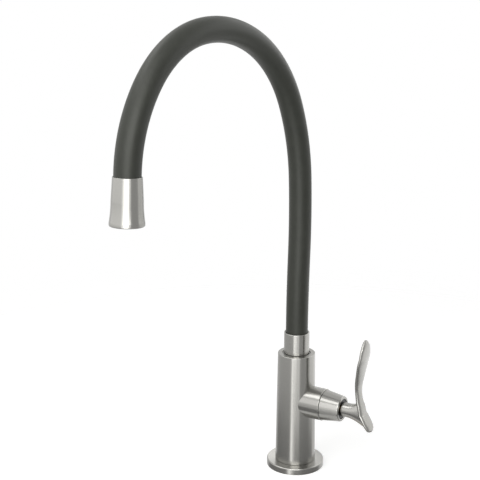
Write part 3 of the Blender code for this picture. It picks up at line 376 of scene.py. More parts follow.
class FaucetStudio(bpy.types.PropertyGroup):
    """Floor, lamps and camera."""
    floor: colour("Floor", "#F2F2F1", "Plain white floor")
    key: amount("Key lamp", 7.0, "Power of the large lamp in front", unit="POWER")
    fill: amount("Fill lamp", 1.5, "Power of the lamp at the right", unit="POWER")
    top: amount("Top lamp", 3.0, "Power of the lamp above", unit="POWER")
    sky: amount("Surrounding light", 0.32, "Even light from all round, 1 for white",
                subtype="FACTOR", max=1.0)
    lens: amount("Lens", 75.0, "Focal length on a frame 36 mm wide", unit="CAMERA")


def settings(context):
    """The sizes and colours that the operators work from."""
    return context.scene.faucet_sizes, context.scene.faucet_finish


# Making meshes

def rounded(corners):
    """Outline of (radius, height, rounding) corners, each rounded corner drawn as an arc."""
    points = []
    for k, corner in enumerate(corners):
        here = Vector(corner[:2])
        size = corner[2] if len(corner) > 2 else 0.0
        if not size:
            points.append(tuple(here))
            continue
        back = Vector(corners[k - 1][:2]) - here
        ahead = Vector(corners[(k + 1) % len(corners)][:2]) - here
        half = back.angle(ahead) / 2
        reach = min(size / math.tan(half), 0.49 * back.length, 0.49 * ahead.length)
        size = reach * math.tan(half)
        middle = here + (back.normalized() + ahead.normalized()).normalized() * (
            size / math.sin(half))
        first = here + back.normalized() * reach - middle
        last = here + ahead.normalized() * reach - middle
        sweep = first.angle(last)
        for j in range(EDGE_STEPS + 1):
            share = j / EDGE_STEPS
            spoke = first * math.sin((1 - share) * sweep) + last * math.sin(share * sweep)
            points.append(tuple(middle + spoke / math.sin(sweep)))
    return points


def joined_rows(rows, along, closed=False, wrapped=True, climb=0):
    """Working mesh over rows of points, where a row of one point is a tip.

    Where they are wrapped, each row meets its own start, or that of a row further on where they
    climb. The last row meets the first where they are closed. The UV map has the share of the
    way round and the distance along, in metres.
    """
    shape = bmesh.new()
    chart = shape.loops.layers.uv.new("UVMap")
    lines = [[shape.verts.new(point) for point in row] for row in rows]
    sides = max(len(row) for row in rows) - (0 if wrapped else 1)
    steps = [(i, i + 1, along[i], along[i + 1]) for i in range(len(rows) - 1)]
    if closed:
        gap = (rows[-1][0] - rows[0][0]).length
        steps.append((len(rows) - 1, 0, along[-1], along[-1] + gap))
    for i, j, start, end in steps:
        for k in range(sides if j + climb < len(rows) else sides - 1):
            corners = []
            for row, column, distance in ((i, k, start), (i, k + 1, start), (j, k + 1, end),
                                          (j, k, end)):
                line = lines[row + climb * (column // sides)]
                corner = line[column % len(line)]
                if corner not in [c[0] for c in corners]:
                    corners.append((corner, column / sides, distance))
            face = shape.faces.new([c[0] for c in corners])
            for loop, (_, share, distance) in zip(face.loops, corners):
                loop[chart].uv = (share, distance)
    return shape


def smoothed(mesh):
    """Shade a mesh smooth, except at its sharp edges."""
    mesh.shade_smooth()
    mesh.set_sharp_from_angle(angle=math.radians(SHARP_DEGREES))
    return mesh


def meshed(name, shape):
    """Turn a working mesh into a smooth one."""
    mesh = bpy.data.meshes.new(name)
    bmesh.ops.recalc_face_normals(shape, faces=shape.faces)
    shape.to_mesh(mesh)
    shape.free()
    return smoothed(mesh)


def turned(name, outline, sides=ROUND_SIDES, closed=True, lay=None):
    """Mesh of an outline of (radius, height) points carried round an axis, which lay bends."""
    rows = []
    along = [0.0]
    for k, (radius, height) in enumerate(outline):
        centre = lay(height) if lay else Matrix.Translation((0, 0, height))
        ring = ring_of(radius, sides) if radius > 0 else [(0.0, 0.0)]
        rows.append([centre @ Vector((x, y, 0)) for x, y in ring])
        if k:
            before = outline[k - 1]
            along.append(along[-1] + math.hypot(radius - before[0], height - before[1]))
    if lay:
        along = [height for _, height in outline]
    return meshed(name, joined_rows(rows, along, closed))


def capped(name, rows, along, first, last):
    """Mesh over rows of points with a tip at each end."""
    return meshed(name, joined_rows([[first], *rows, [last]], [along[0], *along, along[-1]]))


def ring_of(radius, sides, centre=(0.0, 0.0), turn=0.0):
    return [(centre[0] + radius * math.cos(turn + math.tau * k / sides),
             centre[1] + radius * math.sin(turn + math.tau * k / sides)) for k in range(sides)]


def plate(name, outlines, low, high):
    """Mesh of a flat plate: the first outline is its edge, the others are holes."""
    curve = bpy.data.curves.new(name, "CURVE")
    curve.dimensions = "2D"
    curve.fill_mode = "BOTH"
    curve.extrude = (high - low) / 2
    for points in outlines:
        spline = curve.splines.new("POLY")
        spline.points.add(len(points) - 1)
        for point, (x, y) in zip(spline.points, points):
            point.co = (x, y, 0.0, 1.0)
        spline.use_cyclic_u = True
    blank = shown(name, curve)
    filled = evaluated(blank)
    filled.transform(Matrix.Translation((0, 0, (low + high) / 2)))
    bpy.data.objects.remove(blank, do_unlink=True)
    shape = bmesh.new()
    shape.from_mesh(filled)
    bpy.data.meshes.remove(filled)
    bmesh.ops.remove_doubles(shape, verts=shape.verts, dist=PLATE_WELD)
    return meshed(name, shape)


def block(name, sizes, centre):
    shape = bmesh.new()
    bmesh.ops.create_cube(shape, size=1.0)
    bmesh.ops.scale(shape, vec=sizes, verts=shape.verts)
    bmesh.ops.translate(shape, vec=centre, verts=shape.verts)
    return meshed(name, shape)


def threaded_tube(name, crest, bore, low, high, pitch):
    """Tube with the look of a pipe thread.

    Its rows climb a pitch on their way round, and its grooves lie level, one to each pitch.
    """
    depth = THREAD_DEPTH_PER_PITCH * pitch
    middle = (low + high) / 2
    rows = []
    for row in range(math.ceil((high - low) / pitch * THREAD_ROWS) + THREAD_ROWS + 1):
        line = []
        for k, (x, y) in enumerate(ring_of(1.0, SMALL_SIDES)):
            turn = row / THREAD_ROWS + k / SMALL_SIDES - 1
            height = min(max(low + turn * pitch, low), high)
            flank = abs(turn % 1.0 - 0.5) * THREAD_SLOPE - THREAD_HALF_CREST
            radius = min(crest - depth * min(1.0, max(0.0, flank)),
                         crest - SHANK_END_CHAMFER + (height - low))
            line.append((radius * x, radius * y, height))
        rows.append(line)
    shape = joined_rows(rows, [row * pitch / THREAD_ROWS for row in range(len(rows))],
                        climb=THREAD_ROWS)
    inner = [[shape.verts.new((x, y, height)) for x, y in ring_of(bore, SMALL_SIDES)]
             for height in (low, high)]
    bmesh.ops.remove_doubles(shape, verts=shape.verts, dist=THREAD_WELD)
    bmesh.ops.dissolve_degenerate(shape, dist=THREAD_WELD, edges=shape.edges)
    for k in range(SMALL_SIDES):
        ahead = (k + 1) % SMALL_SIDES
        shape.faces.new((inner[0][k], inner[0][ahead], inner[1][ahead], inner[1][k]))
    for side in (1, -1):
        bmesh.ops.bridge_loops(shape, edges=[
            edge for edge in shape.edges if edge.is_boundary
            and all(side * (corner.co.z - middle) > 0 for corner in edge.verts)])
    return meshed(name, shape)


def rod(radius, low, high):
    """Corners of a plain rod."""
    return [(0, low), (radius, low), (radius, high), (0, high)]


def oval_row(centre, across, along, half_across, half_along, squareness):
    """A row of points between an ellipse and a rounded box."""
    row = []
    for k in range(SMALL_SIDES):
        a = math.tau * (k + 0.5) / SMALL_SIDES
        u = math.copysign(abs(math.cos(a)) ** (2 / squareness), math.cos(a))
        v = math.copysign(abs(math.sin(a)) ** (2 / squareness), math.sin(a))
        row.append(centre + across * (half_across * u) + along * (half_along * v))
    return row


def through(stations, steps):
    """Smooth curve through stations, each a tuple of numbers, with steps between two."""
    curve = []
    for count in range((len(stations) - 1) * steps + 1):
        k = min(count // steps, len(stations) - 2)
        t = count / steps - k
        near = [stations[min(max(k + j, 0), len(stations) - 1)] for j in (-1, 0, 1, 2)]
        curve.append([0.5 * (2 * b + (c - a) * t + (2 * a - 5 * b + 4 * c - d) * t * t
                             + (3 * b - a - 3 * c + d) * t * t * t)
                      for a, b, c, d in zip(*near)])
    return curve


# Placing pieces

def shown(name, data):
    """A new object in the scene."""
    made = bpy.data.objects.new(name, data)
    bpy.context.scene.collection.objects.link(made)
    return made


def evaluated(made):
    """Mesh of an object as its modifiers or its curve make it."""
    bpy.context.view_layer.update()
    return bpy.data.meshes.new_from_object(
        made.evaluated_get(bpy.context.evaluated_depsgraph_get()))


def piece(name, mesh, coat, node, place=UPRIGHT):
    """Show a mesh in place of a solid: on its body, in its finish's slot."""
    mesh.transform(place)
    made = shown(name, mesh)
    mesh.materials.clear()
    mesh.materials.append(coat)
    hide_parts(node)
    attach(made, frame["nodes"][node]["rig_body"])
    return made


def tool(mesh, place=UPRIGHT):
    """A shape that is only used to cut or join another."""
    mesh.transform(place)
    return shown(mesh.name, mesh)


def turned_tool(name, corners, place=UPRIGHT, sides=ROUND_SIDES, closed=False):
    return tool(turned(name, rounded(corners), sides, closed), place)


def shaped(made, joined=(), cut=()):
    """Join and cut a piece with tools, then even out the shading of its flats."""
    for helper, operation in [(t, "UNION") for t in joined] + [(t, "DIFFERENCE") for t in cut]:
        step = made.modifiers.new(helper.name, "BOOLEAN")
        step.operation = operation
        step.object = helper
        step.solver = "EXACT"
    settle(made)
    for helper in [*joined, *cut]:
        bpy.data.objects.remove(helper, do_unlink=True)
    if joined or cut:
        smoothed(made.data)
    made.modifiers.new("even_shading", "WEIGHTED_NORMAL").keep_sharp = True
    settle(made)


def settle(made):
    """Apply a piece's modifiers."""
    mesh = evaluated(made)
    made.modifiers.clear()
    made.data = mesh


def lathe(name, node, corners, coat, place=UPRIGHT, sides=ROUND_SIDES, closed=True, **tools):
    """Turn a piece from its corners and show it in place of a solid."""
    shaped(piece(name, turned(name, rounded(corners), sides, closed), coat, node, place), **tools)


def dress(coat, *nodes):
    """Give solids that are shown as they are a better finish."""
    for node in nodes:
        frame["nodes"][node].data.materials.clear()
        frame["nodes"][node].data.materials.append(coat)


def branch_place(sizes):
    """The lever's axis: local Z runs out along the branch."""
    return (BRANCH_TURN @ Matrix.Translation((0, 0, sizes.branch_height))
            @ Matrix.Rotation(math.pi / 2, 4, "Y"))


def bonnet_end(sizes):
    """Distance of the nut's front along the branch."""
    return sizes.boss_reach + BONNET_JOINT + sizes.bonnet_length


# Making materials

def connect(node, inputs):
    """Set a node's inputs, or link them to a socket or to another node's first output."""
    for socket, value in inputs.items():
        if isinstance(value, bpy.types.Node):
            value = value.outputs[0]
        if isinstance(value, bpy.types.NodeSocket):
            node.id_data.links.new(value, node.inputs[socket])
        else:
            node.inputs[socket].default_value = value
    return node


def add(tree, kind, inputs=None, **options):
    """Add a shader node, set it up, and link or set its inputs."""
    node = tree.nodes.new("ShaderNode" + kind)
    for name, value in options.items():
        setattr(node, name, value)
    return connect(node, inputs or {})


def shared(make):
    """Make a material once, and hand out the same one for its name after that."""
    return lambda name, *details: bpy.data.materials.get(name) or make(name, *details)


def new_material(name, shade, **sockets):
    """A material whose principled shader has these socket values."""
    made = bpy.data.materials.new(name)
    made.use_nodes = True
    connect(made.node_tree.nodes["Principled BSDF"],
            {"Base Color": (*shade, 1.0),
             **{socket.replace("_", " "): value for socket, value in sockets.items()}})
    return made, made.node_tree


def bare_tree(owner):
    """Empty node tree of a material or a world."""
    owner.use_nodes = True
    owner.node_tree.nodes.clear()
    return owner.node_tree


def wrapped_place(tree, radius):
    """Place on a turned surface in metres, without a seam: round the axis and along it."""
    parts = add(tree, "SeparateXYZ", {0: add(tree, "UVMap", uv_map="UVMap")})
    angle = add(tree, "Math", {0: parts, 1: math.tau}, operation="MULTIPLY")
    across = []
    for wave in ("COSINE", "SINE"):
        share = add(tree, "Math", {0: angle}, operation=wave)
        across.append(add(tree, "Math", {0: share, 1: radius}, operation="MULTIPLY"))
    return add(tree, "CombineXYZ", {0: across[0], 1: across[1], 2: parts.outputs[1]})


def turned_place(tree, place):
    """Distance from a turning axis and along it, in metres, on any face of a solid."""
    axis = place.inverted()
    local = add(tree, "Mapping", {"Vector": add(tree, "TexCoord").outputs["Object"],
                                  "Location": axis.to_translation(),
                                  "Rotation": axis.to_euler()})
    parts = add(tree, "SeparateXYZ", {0: local})
    flat = add(tree, "CombineXYZ", {0: parts, 1: parts.outputs[1]})
    reach = add(tree, "VectorMath", {0: flat}, operation="LENGTH").outputs["Value"]
    return add(tree, "CombineXYZ", {0: reach, 2: parts.outputs[2]})


def grains(tree, place, across, along, detail=2.0):
    """A pattern of grains of these sizes, in metres, round the axis and along it."""
    stretched = add(tree, "VectorMath", {0: place, 1: (1 / across, 1 / across, 1 / along)},
                    operation="MULTIPLY")
    return add(tree, "TexNoise", {"Vector": stretched, "Scale": 1.0, "Detail": detail,
                                  "Roughness": 0.55})


def shades(tree, pattern, shade, darker, lighter):
    """Colour that wanders between a darker and a lighter shade of one colour."""
    low, high = ((*[min(1.0, c * share) for c in shade], 1.0) for share in (darker, lighter))
    share = add(tree, "MapRange", {0: pattern, 1: NOISE_LOW, 2: NOISE_HIGH})
    return add(tree, "Mix", {0: share, 6: low, 7: high}, data_type="RGBA").outputs[2]


def worked(made, tint, roughness, relief):
    """Give a material the marks of its making.

    tint is the colour, roughness is one or two of (pattern, low, high), which add up, and
    relief is (pattern, depth in metres).
    """
    tree = made.node_tree
    levels = [add(tree, "MapRange", {0: pattern, 1: NOISE_LOW, 2: NOISE_HIGH, 3: low, 4: high})
              for pattern, low, high in roughness]
    if len(levels) > 1:
        levels = [add(tree, "Math", {0: levels[0], 1: levels[1]}, operation="ADD")]
    pattern, depth = relief
    bump = add(tree, "Bump", {"Height": pattern, "Distance": depth, "Strength": 1.0})
    connect(tree.nodes["Principled BSDF"],
            {"Base Color": tint, "Roughness": levels[0], "Normal": bump})
    return made


@shared
def satin_stainless(name, finish, stretch):
    """304 stainless steel, finely brushed with 320 grit, round each turned piece.

    The brushing stretches each reflection across its lines, so a turned piece shows soft bands
    along its axis, and the lines catch the light as faint streaks. Real lines are 0.05 mm
    apart; they are drawn 0.3 mm apart so that they show.
    """
    made, tree = new_material(name, finish.steel, Metallic=1.0, Anisotropic=stretch,
                              Anisotropic_Rotation=0.25)
    place = wrapped_place(tree, BRUSHED_RADIUS)
    streaks = grains(tree, place, 0.020, 0.0003, 3.0)
    clouds = grains(tree, place, 0.016, 0.030)
    connect(tree.nodes["Principled BSDF"],
            {"Tangent": add(tree, "Tangent", direction_type="UV_MAP", uv_map="UVMap")})
    return worked(made, shades(tree, streaks, finish.steel, 0.99, 1.01),
                  ((streaks, -0.01, 0.01), (clouds, 0.225, 0.255)), (streaks, 0.0000003))


def steel_round(finish):
    """The finish of every turned piece that shows."""
    return satin_stainless("stainless_brushed_round", finish, 0.72)


def steel_across(finish):
    """The lever's finish: linished across the blade, more evenly than on a lathe."""
    return satin_stainless("stainless_brushed_across", finish, 0.20)


@shared
def extruded_silicone(name, finish, radius):
    """Silicone rubber, extruded: dull, with faint lines from the die along its length.

    The lines are about 0.2 mm apart and are drawn 0.7 mm apart so that they show.
    """
    made, tree = new_material(name, finish.silicone, IOR=1.41, Specular_IOR_Level=0.4)
    place = wrapped_place(tree, radius)
    lines = grains(tree, place, 0.0007, 0.060)
    dust = grains(tree, place, 0.006, 0.009, 4.0)
    grain = grains(tree, place, 0.00025, 0.00025, 1.0)
    both = add(tree, "Math", {0: lines, 1: grain}, operation="ADD")
    return worked(made, shades(tree, dust, finish.silicone, 0.93, 1.07), [(dust, 0.39, 0.45)],
                  (both, 0.000006))


@shared
def wound_strip(name, finish, radius):
    """302 stainless strip, wound: bright crests and dull valleys along the gooseneck."""
    made, tree = new_material(name, finish.steel, Metallic=1.0)
    lines = grains(tree, wrapped_place(tree, radius), 0.006, 0.0003)
    return worked(made, shades(tree, lines, finish.steel, 0.88, 1.04), [(lines, 0.25, 0.42)],
                  (lines, 0.000004))


@shared
def machined_brass(name, finish, place):
    """CuZn39Pb3 brass as it leaves the lathe: warm yellow with fine tool marks.

    The marks are 0.1 mm apart and are drawn 0.3 mm apart so that they show.
    """
    made, tree = new_material(name, finish.brass, Metallic=1.0)
    marks = grains(tree, turned_place(tree, place), 0.0003, 0.0003)
    stain = grains(tree, add(tree, "TexCoord").outputs["Object"], 0.006, 0.006, 4.0)
    return worked(made, shades(tree, stain, finish.brass, 0.86, 1.05), [(marks, 0.24, 0.38)],
                  (marks, 0.000004))


@shared
def plain_stainless(name, finish, place):
    """302 stainless strip or bar, stamped or turned, and left bright: fine grey lines.

    The lines are 0.1 mm apart and are drawn 0.4 mm apart so that they show.
    """
    made, tree = new_material(name, finish.steel, Metallic=1.0)
    marks = grains(tree, turned_place(tree, place), 0.0004, 0.0004)
    return worked(made, shades(tree, marks, finish.steel, 0.92, 1.05), [(marks, 0.20, 0.34)],
                  (marks, 0.000003))


@shared
def moulded(name, finish):
    """A moulded piece: an even skin with the fine grain of its mould."""
    shade_name, roughness, ior, grain, depth = MOULDED[name]
    shade = getattr(finish, shade_name)
    made, tree = new_material(name, shade, IOR=ior)
    spot = add(tree, "TexCoord").outputs["Object"]
    skin = grains(tree, spot, grain, grain, 3.0)
    cloud = grains(tree, spot, 0.005, 0.005)
    return worked(made, shades(tree, cloud, shade, 0.90, 1.10),
                  [(skin, roughness - 0.06, roughness + 0.06)], (skin, depth))


# The hose's own line: arcs of equal length, each with its own bend, tangent to one another

def arc_end(start, bend, run):
    forward, height, lean = start
    turned_to = lean + bend * run
    if abs(bend) < 0.0001:
        return forward + run * math.sin(lean), height + run * math.cos(lean), turned_to
    forward += (math.cos(lean) - math.cos(turned_to)) / bend
    height += (math.sin(turned_to) - math.sin(lean)) / bend
    return forward, height, turned_to


def hose_line(sizes):
    """Function that gives the hose's frame at a distance from the collar's top, and the length
    of one section."""
    section = sizes.hose_length / len(SECTION_BENDS)
    starts = [(0.0, FITS["spout_collar"][1].z, 0.0)]
    for degrees in SECTION_BENDS:
        starts.append(arc_end(starts[-1], math.radians(degrees) / section, section))

    def frame_at(run):
        if run < 0:
            end = arc_end(starts[0], 0.0, run)
        elif run > sizes.hose_length:
            end = arc_end(starts[-1], 0.0, run - sizes.hose_length)
        else:
            index = min(int(run // section), len(SECTION_BENDS) - 1)
            bend = math.radians(SECTION_BENDS[index]) / section
            end = arc_end(starts[index], bend, run - index * section)
        forward, height, lean = end
        return Matrix.Translation((0, -forward, height)) @ Matrix.Rotation(lean, 4, "X")

    return frame_at, section


def hose_runs(start, end, step):
    """Places of the rings of one hose piece, with a close pair at each end."""
    count = max(2, math.ceil((end - start) / step))
    runs = [start + (end - start) * k / count for k in range(count + 1)]
    return [runs[0], start + HEM] + runs[1:-1] + [end - HEM, runs[-1]]


def bent(layer, number, outline, sides, coat, line):
    """Show the curved piece of a hose layer between section number and the next."""
    frame_at, section = line
    name = f"{layer}_bend_{number}"
    made = shown(name, turned(name, outline, sides, True, frame_at))
    made.data.materials.append(coat)
    start = frame_at((number - 0.5) * section + BLEND_MARGIN).to_translation()
    end = frame_at((number + 0.5) * section - BLEND_MARGIN).to_translation()
    joint = next(j for j in frame["joints"] if j["name"] == f"hose_bend_{number}")
    pivot = frame_at(number * section).to_translation()
    if (pivot - Vector(joint["pos_m"])).length > JOINT_TOLERANCE:
        raise RuntimeError(f"the hose's line misses joint {joint['name']}")
    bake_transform(made)
    nodes = [f"{layer}_{number}"]
    if number == len(SECTION_BENDS) - 1:
        nodes.append(f"{layer}_{number + 1}")
    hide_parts(*nodes)


# Operators: one for each piece or group of like pieces

class FAUCET_OT_flange(bpy.types.Operator):
    """Turn the base flange and finish its gasket"""
    bl_idname = "faucet.flange"
    bl_label = "Base flange"

    def execute(self, context):
        sizes, finish = settings(context)
        top = sizes.flange_thickness
        lathe("base_flange_turned", "base_flange",
              [(SHANK_HOLE, top), (sizes.flange_radius, top, sizes.flange_edge),
               (sizes.flange_radius, 0, CLEARANCE), (GASKET_GROOVE_OUTER, 0),
               (GASKET_GROOVE_OUTER, GASKET_GROOVE_DEPTH),
               (GASKET_GROOVE_INNER, GASKET_GROOVE_DEPTH), (GASKET_GROOVE_INNER, 0),
               (SHANK_HOLE, 0)], steel_round(finish))
        dress(moulded("nitrile_rubber_moulded", finish), "deck_gasket")
        return {"FINISHED"}


class FAUCET_OT_clamp(bpy.types.Operator):
    """Cut the shank's thread and make the washers and lock nut under the deck"""
    bl_idname = "faucet.clamp"
    bl_label = "Shank and clamp"

    def execute(self, context):
        sizes, finish = settings(context)
        brass = machined_brass("brass_machined", finish, UPRIGHT)
        rubber = moulded("nitrile_rubber_moulded", finish)
        low, high = FITS["threaded_shank"]
        mesh = threaded_tube("threaded_shank_cut", high.x, SHANK_BORE, low.z, high.z,
                             sizes.thread_pitch)
        piece("threaded_shank_cut", mesh, brass, "threaded_shank")
        for node, coat, edge in (("rubber_washer", rubber, EASED_EDGE),
                                 ("steel_washer", steel_round(finish), THIN_EDGE)):
            low, high = FITS[node]
            lathe(node + "_turned", node,
                  [(radius, height, edge) for radius, height in (
                      (SHANK_HOLE, high.z), (high.x, high.z), (high.x, low.z),
                      (SHANK_HOLE, low.z))], coat)
        low, high = FITS["lock_nut"]
        corner = NUT_ACROSS_FLATS / math.sqrt(3)
        wide = corner + CUT_OVERRUN
        mesh = plate("lock_nut_milled", [ring_of(corner, 6), ring_of(SHANK_HOLE, SMALL_SIDES)],
                     low.z, high.z)
        nut = piece("lock_nut_milled", mesh, brass, "lock_nut")
        chamfers = []
        for name, face, out in (("nut_top_chamfer", high.z, 1), ("nut_end_chamfer", low.z, -1)):
            start = face - out * NUT_CHAMFER
            past = face + out * CUT_OVERRUN
            chamfers.append(turned_tool(name, [
                (NUT_FACE_RADIUS, face), (corner, start), (wide, start), (wide, past),
                (NUT_FACE_RADIUS, past)], closed=True))
        shaped(nut, cut=chamfers)
        dress(rubber, "shank_seal")
        return {"FINISHED"}


class FAUCET_OT_body(bpy.types.Operator):
    """Turn the pillar and join its side boss"""
    bl_idname = "faucet.body"
    bl_label = "Pillar body"

    def execute(self, context):
        sizes, finish = settings(context)
        place = branch_place(sizes)
        low, high = FITS["pillar_body"]
        recess_z = high.z - RECESS_DEPTH
        socket_z = recess_z - SOCKET_DEPTH
        shank_top = low.z + SHANK_SEAT_DEPTH
        foot = sizes.flange_thickness + SEATED
        boss_end = sizes.boss_reach
        boss = turned_tool("valve_boss", [
            (0, boss_end), (sizes.boss_radius, boss_end, BOSS_EDGE), (sizes.boss_radius, 0),
            (0, 0)], place)
        pocket = turned_tool("valve_pocket", rod(POCKET_RADIUS, -POCKET_PAST_AXIS,
                                                 boss_end + CUT_OVERRUN), place, SMALL_SIDES)
        lathe("pillar_body_turned", "pillar_body",
              [(0, socket_z), (SOCKET_RADIUS, socket_z), (SOCKET_RADIUS, recess_z),
               (RECESS_RADIUS, recess_z), (RECESS_RADIUS, high.z, sizes.body_edge / 2),
               (sizes.body_top_radius, high.z, sizes.body_edge),
               (sizes.body_base_radius, foot, CLEARANCE), (SHANK_HOLE, foot),
               (SHANK_HOLE, shank_top), (0, shank_top)], steel_round(finish), closed=False,
              joined=[boss], cut=[pocket])
        return {"FINISHED"}


class FAUCET_OT_bonnet(bpy.types.Operator):
    """Turn the bonnet nut and the black bush round the lever's stem"""
    bl_idname = "faucet.bonnet"
    bl_label = "Bonnet nut and bush"

    def execute(self, context):
        sizes, finish = settings(context)
        place = branch_place(sizes)
        start = sizes.boss_reach + SEATED
        end = bonnet_end(sizes)
        bush_end = end - BUSH_SET_BACK
        bush_start = bush_end - BUSH_LENGTH
        step = bush_start - CLEARANCE
        bush_bore = sizes.bush_radius + CLEARANCE
        lathe("bonnet_nut_turned", "bonnet_nut",
              [(bush_bore, end, BROKEN_EDGE), (sizes.bonnet_front, end, BONNET_FRONT_ROUND),
               (sizes.bonnet_back, start, BONNET_BACK_ROUND), (NECK_BORE, start),
               (NECK_BORE, step), (bush_bore, step)], steel_round(finish), place)
        lathe("stem_bush_moulded", "stem_bush",
              [(SPINDLE_BORE, bush_end, BROKEN_EDGE), (sizes.bush_radius, bush_end, EASED_EDGE),
               (sizes.bush_radius, bush_start), (SPINDLE_BORE, bush_start)],
              moulded("acetal_black_moulded", finish), place, SMALL_SIDES)
        return {"FINISHED"}


class FAUCET_OT_valve(bpy.types.Operator):
    """Finish the quarter-turn valve inside the boss"""
    bl_idname = "faucet.valve"
    bl_label = "Valve"

    def execute(self, context):
        sizes, finish = settings(context)
        dress(machined_brass("brass_machined_branch", finish, branch_place(sizes)),
              "cartridge_housing", "cartridge_spindle")
        dress(moulded("nitrile_rubber_moulded", finish),
              "seat_seal", "housing_o_ring", "spindle_o_ring")
        dress(moulded("alumina_lapped", finish),
              "fixed_ceramic_disc", "moving_ceramic_disc")
        return {"FINISHED"}


class FAUCET_OT_lever(bpy.types.Operator):
    """Form the lever's blade, join its flared stem and finish its set screw"""
    bl_idname = "faucet.lever"
    bl_label = "Lever"

    def execute(self, context):
        sizes, finish = settings(context)
        place = branch_place(sizes)
        stem_x = bonnet_end(sizes) + STEM_GAP
        screw_place = (BRANCH_TURN @ Matrix.Translation((stem_x + STEM_STRAIGHT / 2, 0,
                                                         sizes.branch_height))
                       @ Matrix.Rotation(-math.pi / 2, 4, "X"))
        edge = sizes.stem_radius
        stem = tool(self.flare(sizes, stem_x), BRANCH_TURN)
        socket = turned_tool("lever_socket", rod(SPINDLE_BORE, stem_x - CUT_OVERRUN,
                                                 stem_x + LEVER_SOCKET_DEPTH), place, SMALL_SIDES)
        past = edge + CUT_OVERRUN
        sink = edge - SCREW_SINK
        hole = turned_tool("screw_hole", [
            (0, past), (SCREW_HOLE_RADIUS + past - sink, past), (SCREW_HOLE_RADIUS, sink),
            (SCREW_HOLE_RADIUS, 0), (0, 0)], screw_place, SMALL_SIDES)
        lever = piece("lever_handle_forged", self.blade(sizes, stem_x), steel_across(finish),
                      "lever_handle", BRANCH_TURN)
        shaped(lever, joined=[stem], cut=[socket, hole])
        top = edge - SCREW_SET_BACK
        key = plate("screw_key", [ring_of(SCREW_KEY_RADIUS, 6)], top - SCREW_KEY_DEPTH,
                    top + CUT_OVERRUN)
        lathe("set_screw_turned", "lever_set_screw",
              [(0, top), (SCREW_RADIUS, top, BROKEN_EDGE),
               (SCREW_RADIUS, SPINDLE_BORE, BROKEN_EDGE), (0, SPINDLE_BORE)],
              plain_stainless("stainless_turned_branch", finish, place), screw_place,
              SMALL_SIDES, False, cut=[tool(key, screw_place)])
        return {"FINISHED"}

    def blade(self, sizes, stem_x):
        """The leaf-shaped blade, from its lower tip to its upper one."""
        sections = []
        for height, curl, width, thickness in through(BLADE_STATIONS, BLADE_STEPS):
            rise = sizes.blade_rise if height > 0 else sizes.blade_drop
            middle = Vector((stem_x + WAIST_REACH + curl * sizes.blade_sweep, 0,
                             sizes.branch_height + height * rise))
            sections.append((middle, width * sizes.blade_width / 2,
                             thickness * sizes.blade_thickness / 2))
        rows = []
        along = []
        for k, (middle, half_width, half_thick) in enumerate(sections):
            run = (sections[min(k + 1, len(sections) - 1)][0]
                   - sections[max(k - 1, 0)][0]).normalized()
            outward = Vector((run.z, 0, -run.x))
            rows.append(oval_row(middle, Vector((0, 1, 0)), outward, half_width, half_thick,
                                 BLADE_SQUARENESS))
            along.append(along[-1] + (middle - sections[k - 1][0]).length if k else 0.0)
        return capped("lever_handle_forged", rows, along, sections[0][0], sections[-1][0])

    def flare(self, sizes, stem_x):
        """The stem, from round at the nut to the tall oval that the blade sits on."""
        start = stem_x + STEM_STRAIGHT
        end = stem_x + WAIST_REACH + FOOT_CURL_SHARE * sizes.blade_sweep
        height = sizes.branch_height
        radius = sizes.stem_radius
        sideways = Vector((0, 1, 0))
        rows = [oval_row(Vector((x, 0, height)), sideways, Vector((0, 0, 1)), radius, radius, 2)
                for x in (stem_x, start - STEM_LAST_RING)]
        along = [0.0, start - STEM_LAST_RING - stem_x]
        for reach, drop, lean, growth in through(FLARE_SECTIONS, FLARE_STEPS):
            tilt = math.radians(FOOT_LEAN_DEGREES) * lean
            centre = Vector((start + (end - start) * reach, 0,
                             height - FOOT_DROP_SHARE * FOOT_HEIGHT * drop))
            half_width, half_height = (radius + (size / 2 - radius) * growth
                                       for size in (FOOT_WIDTH, FOOT_HEIGHT))
            rows.append(oval_row(centre, sideways, Vector((-math.sin(tilt), 0, math.cos(tilt))),
                                 half_width, half_height, 2))
            along.append(centre.x - stem_x)
        last = (rows[-1][0] + rows[-1][SMALL_SIDES // 2]) / 2
        return capped("lever_stem", rows, along, Vector((stem_x, 0, height)), last)


class FAUCET_OT_swivel(bpy.types.Operator):
    """Turn the collar and finish the swivel under it"""
    bl_idname = "faucet.swivel"
    bl_label = "Collar and swivel"

    def execute(self, context):
        sizes, finish = settings(context)
        low, high = FITS["spout_collar"]
        bore = sizes.hose_radius + CLEARANCE
        floor = high.z - HOSE_IN_COLLAR - CLEARANCE
        lathe("spout_collar_turned", "spout_collar",
              [(bore, high.z, THIN_EDGE), (sizes.collar_radius, high.z, EASED_EDGE),
               (sizes.collar_radius, low.z, BROKEN_EDGE), (NIPPLE_BORE, low.z),
               (NIPPLE_BORE, floor), (bore, floor)], steel_round(finish))
        low, high = FITS["glide_ring"]
        lathe("glide_ring_moulded", "glide_ring",
              [(SOCKET_RADIUS, high.z, THIN_EDGE), (high.x, high.z, THIN_EDGE),
               (high.x, low.z), (SOCKET_RADIUS, low.z)],
              moulded("acetal_grey_moulded", finish))
        dress(machined_brass("brass_machined", finish, UPRIGHT), "swivel_nipple")
        dress(plain_stainless("stainless_stamped", finish, UPRIGHT), "snap_ring")
        dress(moulded("nitrile_rubber_moulded", finish),
              "nipple_o_ring_1", "nipple_o_ring_2")
        return {"FINISHED"}


